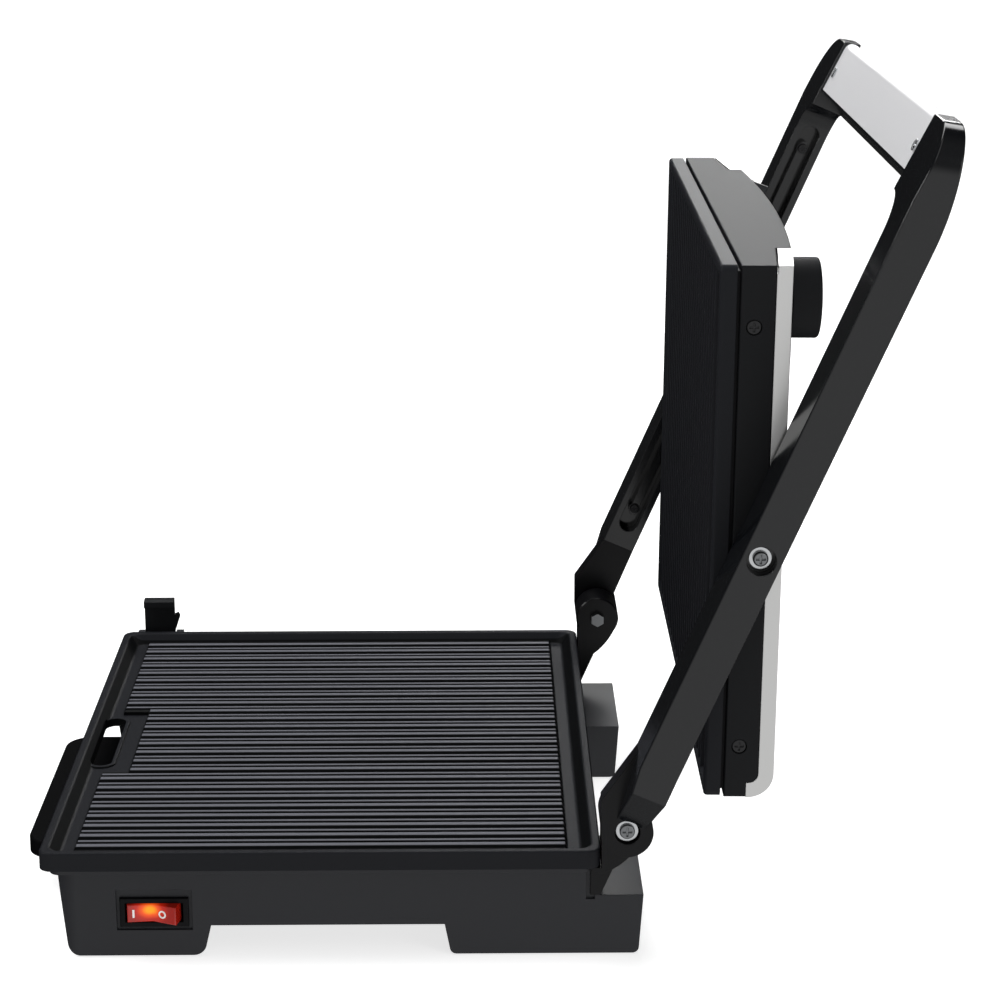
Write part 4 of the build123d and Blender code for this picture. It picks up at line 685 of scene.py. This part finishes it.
# knob and its raised pad
knob = {"radius": 19.3 * mm, "low": 47.5 * mm, "height": 14.0 * mm, "edge": 1.4 * mm, "sides": 96,
        "faceRim": 2.2 * mm, "faceSlope": 0.6 * mm, "faceDrop": 0.4 * mm,
        "pointer": 1.6 * mm, "pointerDepth": 0.5 * mm, "pointerFrom": 0.35}
dialPad = {"half": 24.0 * mm, "front": -218.0 * mm, "back": -147.0 * mm, "shoulder": 5.2 * mm,
           "sunk": 0.4 * mm}


def makeKnob():
    s = knob
    y = -lid["knobFromRear"]
    top = s["low"] + s["height"]
    body = addRod("temperatureKnob", s["radius"], (0, y, s["low"]), (0, y, top), s["sides"])
    softenEdges(body, s["edge"], 5, lambda edge: middle(edge).z > top - 1e-6, 50)
    edit(body, "FACE", lambda face: face.normal.z > 0.99 and middle(face).z > top - 1e-6)
    bpy.ops.mesh.inset(thickness=s["faceRim"], depth=0)
    bpy.ops.mesh.inset(thickness=s["faceSlope"], depth=-s["faceDrop"])
    bpy.ops.object.mode_set(mode="OBJECT")
    mark = addBlock("pointerCutter",
                    (-s["pointer"] / 2, y - s["radius"] - mm, top - s["pointerDepth"] - s["faceDrop"]),
                    (s["pointer"] / 2, y - s["radius"] * s["pointerFrom"], top + mm))
    combine(body, mark, "DIFFERENCE")
    onLid(body)
    return finishPiece(body, matte, "knob", ["knob"])


def makeDialPad():
    s = dialPad
    y, low = s["front"] + s["half"], crownAt(s["half"]) - s["sunk"]
    pad = addCapsule("knobPad", s["half"], (0, y, low), (0, y, lid["padTop"]),
                     (0, s["back"] - s["front"] - 2 * s["half"], 0), 64)
    softenEdges(pad, s["shoulder"], 8, lambda edge: middle(edge).z > lid["padTop"] - 1e-6, 50)
    onLid(pad)
    return finishPiece(pad, matte, "lid", ["dial_pad"])


makeDialPad()
makeKnob()
print("knob and pad made")

# carrying arms, modelled upright on the hinge axis: Z runs up the arm and -Y is its front
hingePlace = Vector(joints["lid_hinge"]["pos_m"])
arm = {"lean": -23.6, "inner": 153.5 * mm, "outer": 180.0 * mm, "front": -11.3 * mm, "back": 6.0 * mm,
       "top": 337.5 * mm, "spare": 3.0 * mm, "gripLow": 300.0 * mm, "gripHalf": 137.0 * mm,
       "shoulder": 24.0 * mm, "innerRound": 16.4 * mm, "edge": 2.5 * mm, "innerEdge": 0.7 * mm,
       "bend": 134.0 * mm, "bendLow": 287.5 * mm, "bendTurn": 11.2, "bendSteps": 14,
       "capLow": 302.0 * mm, "capLean": 2.1 * mm, "capFront": -9.2 * mm, "capTop": 335.2 * mm,
       "capRise": 2.3 * mm, "wedgeFrom": 36.0 * mm, "tongueOuter": 162.6 * mm, "boss": 6.6 * mm,
       # the lower end's steps: height, front and back
       "wedge": ((24.0 * mm, -9.73 * mm, 6.2 * mm), (4.0 * mm, -7.12 * mm, 6.53 * mm)),
       "tilt": 140.2 * mm, "tiltRecess": 6.4 * mm, "tiltDepth": 6.5 * mm, "hingeRecess": 5.7 * mm,
       "hingeSeat": 159.0 * mm, "slotWidth": 10.4 * mm, "slotDepth": 9.0 * mm,
       "slots": ((46.0 * mm, 120.2 * mm), (160.2 * mm, 288.0 * mm))}
armMiddle = (arm["front"] + arm["back"]) / 2


def onArm(piece):
    return placePiece(piece, hingePlace, radians(arm["lean"]))


def makeArm():
    s = arm
    body = addBlock("armRight", (s["inner"], s["front"], s["wedgeFrom"]),
                    (s["outer"], s["back"], s["gripLow"]))
    edit(body, "FACE", lambda face: face.normal.z > 0.9)
    rise = s["top"] + s["spare"] - s["gripLow"]
    bpy.ops.mesh.extrude_region_move(TRANSFORM_OT_translate={"value": (0, 0, rise)})
    bpy.ops.object.mode_set(mode="OBJECT")
    edit(body, "FACE", lambda face: face.normal.x < -0.9 and middle(face).z > s["gripLow"])
    bpy.ops.mesh.extrude_region_move(TRANSFORM_OT_translate={"value": (s["gripHalf"] - s["inner"], 0, 0)})
    bpy.ops.object.mode_set(mode="OBJECT")
    # the top slopes up towards the back, and its outer corner turns into the grip
    cutFlat(body, (0, s["capFront"], s["capTop"]), Vector((0, -s["capRise"], -s["capFront"])).normalized())
    softenEdges(body, s["shoulder"], 20, lambda edge: middle(edge).z > s["capTop"] - 2 * mm
                and middle(edge).x > s["outer"] - 1e-6)
    edit(body, "EDGE", lambda edge: abs(middle(edge).z - s["gripLow"]) < 1e-6
         and abs(middle(edge).x - s["inner"]) < 1e-6 and abs(edge.verts[0].co.y - edge.verts[1].co.y) > mm)
    bpy.ops.mesh.bevel(offset=s["innerRound"], segments=12, affect="EDGES")
    bpy.ops.object.mode_set(mode="OBJECT")
    # front and back lean in towards the top, the back in a wide bend
    bend, turn = [], radians(s["bendTurn"])
    for i in range(s["bendSteps"] + 1):
        angle = turn * i / s["bendSteps"]
        bend.append((s["back"] - s["bend"] * (1 - cos(angle)), s["bendLow"] + s["bend"] * sin(angle)))
    clearTop, clearBack = s["top"] + 2 * s["spare"], s["back"] + 2 * s["spare"]
    bend += [(bend[-1][0] - (clearTop - bend[-1][1]) * tan(turn), clearTop), (clearBack, clearTop),
             (clearBack, s["bendLow"])]
    combine(body, addPrism("backRoom", bend, s["gripHalf"] - mm, s["outer"] + mm), "DIFFERENCE")
    lean = Vector((0, s["capLow"] - s["top"], s["capLean"])).normalized()
    cutFlat(body, (0, s["front"], s["capLow"]), lean)
    # lower end narrows to the hinge boss
    wedge = (*s["wedge"], (0.0, -s["boss"], s["boss"]))
    for (low, front, back), outer in zip(wedge, (s["outer"], s["tongueOuter"], s["tongueOuter"])):
        edit(body, "FACE", lambda face: face.normal.z < -0.9 and middle(face).z < s["wedgeFrom"] + 1e-6)
        bpy.ops.mesh.extrude_region_move()
        mesh = bmesh.from_edit_mesh(body.data)
        for vert in mesh.verts:
            if vert.select:
                vert.co = (outer if vert.co.x > s["inner"] + mm else s["inner"],
                           front if vert.co.y < 0 else back, low)
        bmesh.update_edit_mesh(body.data)
        bpy.ops.object.mode_set(mode="OBJECT")
    softenEdges(body, s["edge"], 5, lambda edge: middle(edge).x > s["inner"] + mm and longEdge(edge), 30)
    softenEdges(body, s["innerEdge"], 2, lambda edge: middle(edge).x < s["inner"] + mm and longEdge(edge), 30)
    cutRecesses(body)
    cam = makeHeel()
    for piece, name in ((body, "arm_right"), (mirrorPiece(body, "armLeft"), "arm_left")):
        onArm(piece)
        finishPiece(piece, polished, "handle", [name], 20)
    for piece in (cam, mirrorPiece(cam, "armHeelLeft")):
        onArm(piece)
        finishPiece(piece, painted, "handle")


def longEdge(edge):
    # an edge between the front or back face and a face that runs round the arm
    lean = sorted(abs(face.normal.y) for face in edge.link_faces)
    return lean[0] < 0.6 and lean[1] > 0.75 and middle(edge).z > 1e-5


heel = {"radius": 11.5 * mm, "top": 15.5 * mm, "reach": 36.8 * mm, "edge": 0.8 * mm,
        "inner": 153.45 * mm, "outer": 163.0 * mm}


def makeHeel():
    # a cam round the hinge axis with a straight back, which runs out along the arm
    s = heel
    outline = [armPoint(-s["radius"], 0), armPoint(-s["radius"], s["top"]), (arm["front"], s["reach"]),
               (arm["back"], s["reach"]), (arm["boss"], 0), (0, 0)]
    cam = addPrism("armHeelRight", outline, s["inner"], s["outer"])
    disc = addRod("heelDisc", s["radius"], (s["inner"], 0, 0), (s["outer"], 0, 0), 64)
    combine(cam, disc, "UNION")
    softenEdges(cam, s["edge"], 3, lambda edge: any(abs(face.normal.x) > 0.9 for face in edge.link_faces), 60)
    combine(cam, hingeRecess(), "DIFFERENCE")
    return cam


def hingeRecess():
    return addRod("hingeRecess", arm["hingeRecess"], (arm["hingeSeat"], 0, 0), (arm["outer"] + mm, 0, 0), 48)


def armPoint(back, up):
    # a place behind and above the hinge axis, given upright, in the leaning arm's own Y and Z
    lean = radians(-arm["lean"])
    return (back * cos(lean) - up * sin(lean), back * sin(lean) + up * cos(lean))


def cutRecesses(body):
    s = arm
    cuts = [hingeRecess(),
            addRod("tiltRecess", s["tiltRecess"], (s["outer"] - s["tiltDepth"], armMiddle, s["tilt"]),
                   (s["outer"] + mm, armMiddle, s["tilt"]), 48)]
    for start, end in s["slots"]:
        z = start + s["slotWidth"] / 2
        run = end - start - s["slotWidth"]
        cuts.append(addCapsule("armSlot", s["slotWidth"] / 2, (s["inner"] - mm, armMiddle, z),
                               (s["inner"] + s["slotDepth"], armMiddle, z), (0, 0, run)))
    for cutter in cuts:
        combine(body, cutter, "DIFFERENCE")


makeArm()
print("arms made")

# grip between the arms
grip = {"half": arm["gripHalf"], "sleeve": 1.2 * mm, "topRound": 2.8 * mm, "low": 308.7 * mm,
        "coreEdge": 0.5 * mm, "sleeveEdge": 0.25 * mm,
        "section": ((5.2 * mm, 300.0 * mm), (-9.6 * mm, 307.5 * mm), (-8.0 * mm, 335.2 * mm),
                    (-1.6 * mm, 336.7 * mm), (2.0 * mm, 328.5 * mm))}


def gripBlock(name):
    s = grip
    body = addPrism(name, s["section"], -s["half"], s["half"])
    softenEdges(body, s["topRound"], 5, lambda edge: middle(edge).z > arm["capTop"] - mm and alongX(edge), 20)
    return body


def makeSleeve():
    # only the front face and the top edge are kept
    s = grip
    sleeve = gripBlock("gripSleeve")
    cutFlat(sleeve, (0, 0, s["low"]), (0, 0, -1))
    room = gripBlock("gripRoom")
    edit(room, "VERT", lambda vert: True)
    bpy.ops.transform.translate(value=(0, s["sleeve"], -s["sleeve"]))
    bpy.ops.object.mode_set(mode="OBJECT")
    room.scale.x = 1.1
    combine(sleeve, room, "DIFFERENCE")
    return sleeve


def makeGrip():
    s = grip
    core = gripBlock("gripCore")
    for side in (-1, 1):
        edit(core, "EDGE", lambda edge: abs(middle(edge).x - side * s["half"]) < 1e-6)
        bpy.ops.mesh.bevel(offset=s["coreEdge"], segments=2, affect="EDGES")
    bpy.ops.object.mode_set(mode="OBJECT")
    sleeve = makeSleeve()
    softenEdges(sleeve, s["sleeveEdge"], 2,
                lambda edge: alongX(edge) or abs(abs(middle(edge).x) - s["half"]) < 1e-5, 60)
    # the core's front face and top sit below the sleeve
    edit(core, "VERT", lambda vert: vert.co.z > s["low"] and vert.co.y < 2 * mm)
    bpy.ops.transform.translate(value=(0, s["sleeve"], -s["sleeve"]))
    bpy.ops.object.mode_set(mode="OBJECT")
    for piece, finish, name, slot in ((core, polished, "grip_core", "gloss_black"),
                                      (sleeve, satin, "grip_sleeve", "brushed_steel")):
        onArm(piece)
        finishPiece(piece, finish, "handle", [name])


makeGrip()
print("grip made")

# rocker switch, modelled flat on its axis and then turned to its rest
switch = {"half": 11.7 * mm, "tall": 8.8 * mm, "arm": 6.4 * mm, "valley": 3.5 * mm, "round": 0.9 * mm,
          "deep": 3.4 * mm, "cornerDeep": 1.4 * mm, "narrowing": 0.4 * mm, "turn": -9.0,
          "axis": Vector(joints["rocker_press"]["pos_m"]), "mark": 0.12 * mm, "markEdge": 0.06 * mm,
          "bar": (4.0 * mm, 1.0 * mm), "ring": (1.9 * mm, 1.1 * mm), "barAt": 0.72, "ringAt": 0.4}


def onSwitch(piece):
    pick(piece)
    piece.location = switch["axis"]
    piece.rotation_euler.z = radians(switch["turn"])
    bpy.ops.object.transform_apply(location=True, rotation=True, scale=True)
    return piece


def makeRocker():
    s = switch
    half, tall = s["half"], s["tall"] / 2
    body = addBlock("rockerSwitch", (-s["deep"], -half, -tall), (s["arm"], half, tall))
    # a crease across the middle, where the two sloping faces meet
    edit(body, "FACE", lambda face: True)
    bpy.ops.mesh.bisect(plane_co=(0, 0, 0), plane_no=(0, 1, 0))
    mesh = bmesh.from_edit_mesh(body.data)
    for vert in mesh.verts:
        if vert.co.x > 0 and abs(vert.co.y) < 1e-6:
            vert.co.x = s["valley"]
        elif vert.co.x > 0:
            vert.co.y *= 1 - s["narrowing"] / half
        elif abs(vert.co.y) > 1e-6:
            vert.co.x = -s["cornerDeep"]
    bmesh.update_edit_mesh(body.data)
    bpy.ops.object.mode_set(mode="OBJECT")
    softenEdges(body, s["round"], 4, lambda edge: middle(edge).x > s["valley"] - mm * 0.1
                and not (abs(middle(edge).y) < mm and abs(middle(edge).x - s["valley"]) < 1e-4))
    onSwitch(body)
    return finishPiece(body, red, "rocker", ["switch_rocker"], 50)


def makeMarks():
    # printed marks: a bar for on at the front, a ring for off at the back
    s = switch
    slope = (s["arm"] - s["valley"]) / (s["half"] - s["narrowing"])
    tilt = degrees(asin(slope / hypot(1, slope)))
    bar = addBlock("onMark", (-s["mark"], -s["bar"][1] / 2, -s["bar"][0] / 2),
                   (s["mark"], s["bar"][1] / 2, s["bar"][0] / 2))
    softenEdges(bar, s["markEdge"], 2)
    ring = addRod("offMark", s["ring"][0], (-s["mark"], 0, 0), (s["mark"], 0, 0), 40)
    combine(ring, addRod("ringHole", s["ring"][1], (-mm, 0, 0), (mm, 0, 0), 40), "DIFFERENCE")
    for mark, side, share in ((bar, -1, s["barAt"]), (ring, 1, s["ringAt"])):
        at = s["half"] * share
        pick(mark)
        mark.location = (s["valley"] + slope * at, side * at, 0)
        mark.rotation_euler.z = radians(side * -tilt)
        bpy.ops.object.transform_apply(location=True, rotation=True, scale=True)
        onSwitch(mark)
        finishPiece(mark, ink, "rocker", smooth=40)


makeRocker()
makeMarks()
print("rocker switch made")

# stage, light and camera
studio = {"floor": "#c8c8c8", "floorSize": 40, "glow": 0.74, "backdrop": 1.0,
          "paper": 0.85, "horizon": 0.2, "room": 0.14, "roomFrom": 0.55,
          "leftShare": 0.02, "leftFrom": -0.35, "leftTo": 0.25, "frontShare": 0.25, "frontFrom": -0.8,
          "overhead": 2.6, "overheadSpread": 60, "overheadTurn": (12, -8),
          "topBox": 1.6, "sideBox": 3.0, "backBox": 9.0, "leftBox": 3.7, "gripBox": 6.0}
deselectAll()
bpy.ops.mesh.primitive_plane_add(size=studio["floorSize"])
floor = bpy.context.object
floor.name = "studioFloor"
# matte paper lit from below as well, so that it stays white with a faint shadow under the feet
paper = newMaterial("glowingPaper", Base_Color=hexColour(studio["floor"]), Roughness=0.9,
                    Specular_IOR_Level=0.0, Emission_Color=(1, 1, 1, 1),
                    Emission_Strength=studio["glow"])[0]
floor.data.materials.append(paper)
floor.visible_glossy = False

world = bpy.data.worlds.new("studio")
bpy.context.scene.world = world
world.use_nodes = True
# white paper below and round the horizon, a dim room above
fill = world.node_tree.nodes["Background"]
ways = addNode(world, "ShaderNodeTexCoord")
height = addNode(world, "ShaderNodeSeparateXYZ", links={"Vector": ways.outputs["Generated"]})
ramp = addNode(world, "ShaderNodeMapRange", {"From Min": studio["horizon"], "From Max": studio["roomFrom"],
                                             "To Min": studio["paper"], "To Max": studio["room"]},
               {"Value": height.outputs["Z"]}, interpolation_type="SMOOTHSTEP")
# the left and the front of the room are darker, so that the faces that mirror them keep their depth
side = addNode(world, "ShaderNodeMapRange", {"From Min": studio["leftFrom"], "From Max": studio["leftTo"],
                                             "To Min": studio["leftShare"], "To Max": 1.0},
               {"Value": height.outputs["X"]})
frontSide = addNode(world, "ShaderNodeMapRange", {"From Min": studio["frontFrom"], "From Max": 0.0,
                                                  "To Min": studio["frontShare"], "To Max": 1.0},
                    {"Value": height.outputs["Y"]})
shares = addNode(world, "ShaderNodeMath", links={0: side.outputs[0], 1: frontSide.outputs[0]},
                 operation="MULTIPLY")
both = addNode(world, "ShaderNodeMath", links={0: ramp.outputs[0], 1: shares.outputs[0]},
               operation="MULTIPLY")
world.node_tree.links.new(both.outputs[0], fill.inputs["Strength"])
fill.inputs["Color"].default_value = (1, 1, 1, 1)
white = addNode(world, "ShaderNodeBackground", {"Color": (1, 1, 1, 1), "Strength": studio["backdrop"]})
rays = addNode(world, "ShaderNodeLightPath")
choose = addNode(world, "ShaderNodeMixShader", links={0: rays.outputs["Is Camera Ray"], 1: fill.outputs[0],
                                                      2: white.outputs[0]})
world.node_tree.links.new(choose.outputs[0], world.node_tree.nodes["World Output"].inputs["Surface"])

bpy.ops.object.light_add(type="SUN", location=(0, 0, 3),
                         rotation=[radians(turn) for turn in (*studio["overheadTurn"], 0)])
overhead = bpy.context.object
overhead.name = "overheadSoftLight"
overhead.data.energy = studio["overhead"]
overhead.data.angle = radians(studio["overheadSpread"])
overhead.visible_glossy = False


def softBox(name, place, target, size, power):
    bpy.ops.object.light_add(type="AREA", location=place)
    light = bpy.context.object
    light.name = name
    light.data.shape = "RECTANGLE"
    light.data.size, light.data.size_y = size
    light.data.energy = power
    light.rotation_euler = (Vector(target) - Vector(place)).to_track_quat("-Z", "Y").to_euler()
    return light


# where each box stands, what it faces, and its size, in metres
softBoxes = {"topBox": ((0.5, 0.2, 1.4), (0, 0.1, 0.2), (0.25, 1.2)),
             "sideBox": ((1.1, 1.1, 0.9), (0.1, 0.2, 0.25), (0.5, 0.9)),
             "backBox": ((-1.0, 0.1, 1.3), (0, 0.0, 0.1), (1.4, 0.5)),
             "leftBox": ((-1.25, 0.34, 0.68), (0, 0.17, 0.32), (0.5, 0.22)),
             "gripBox": ((0.1, -1.0, 0.95), (0, 0.25, 0.38), (0.5, 0.4))}
for name, (place, target, size) in softBoxes.items():
    softBox(name, place, target, size, studio[name])

camera = {"place": (1.2223, 0.0571, 0.5259), "turn": (74.129, 0.110, 89.510), "lens": 94.05,
          "shift": (0.0018, -0.0068), "sensor": 36.0}
bpy.ops.object.camera_add(location=camera["place"], rotation=[radians(turn) for turn in camera["turn"]])
eye = bpy.context.object
eye.name = "productCamera"
eye.data.lens = camera["lens"]
eye.data.sensor_width = camera["sensor"]
eye.data.shift_x, eye.data.shift_y = camera["shift"]
bpy.context.scene.camera = eye
bpy.context.scene.view_settings.view_transform = "Standard"
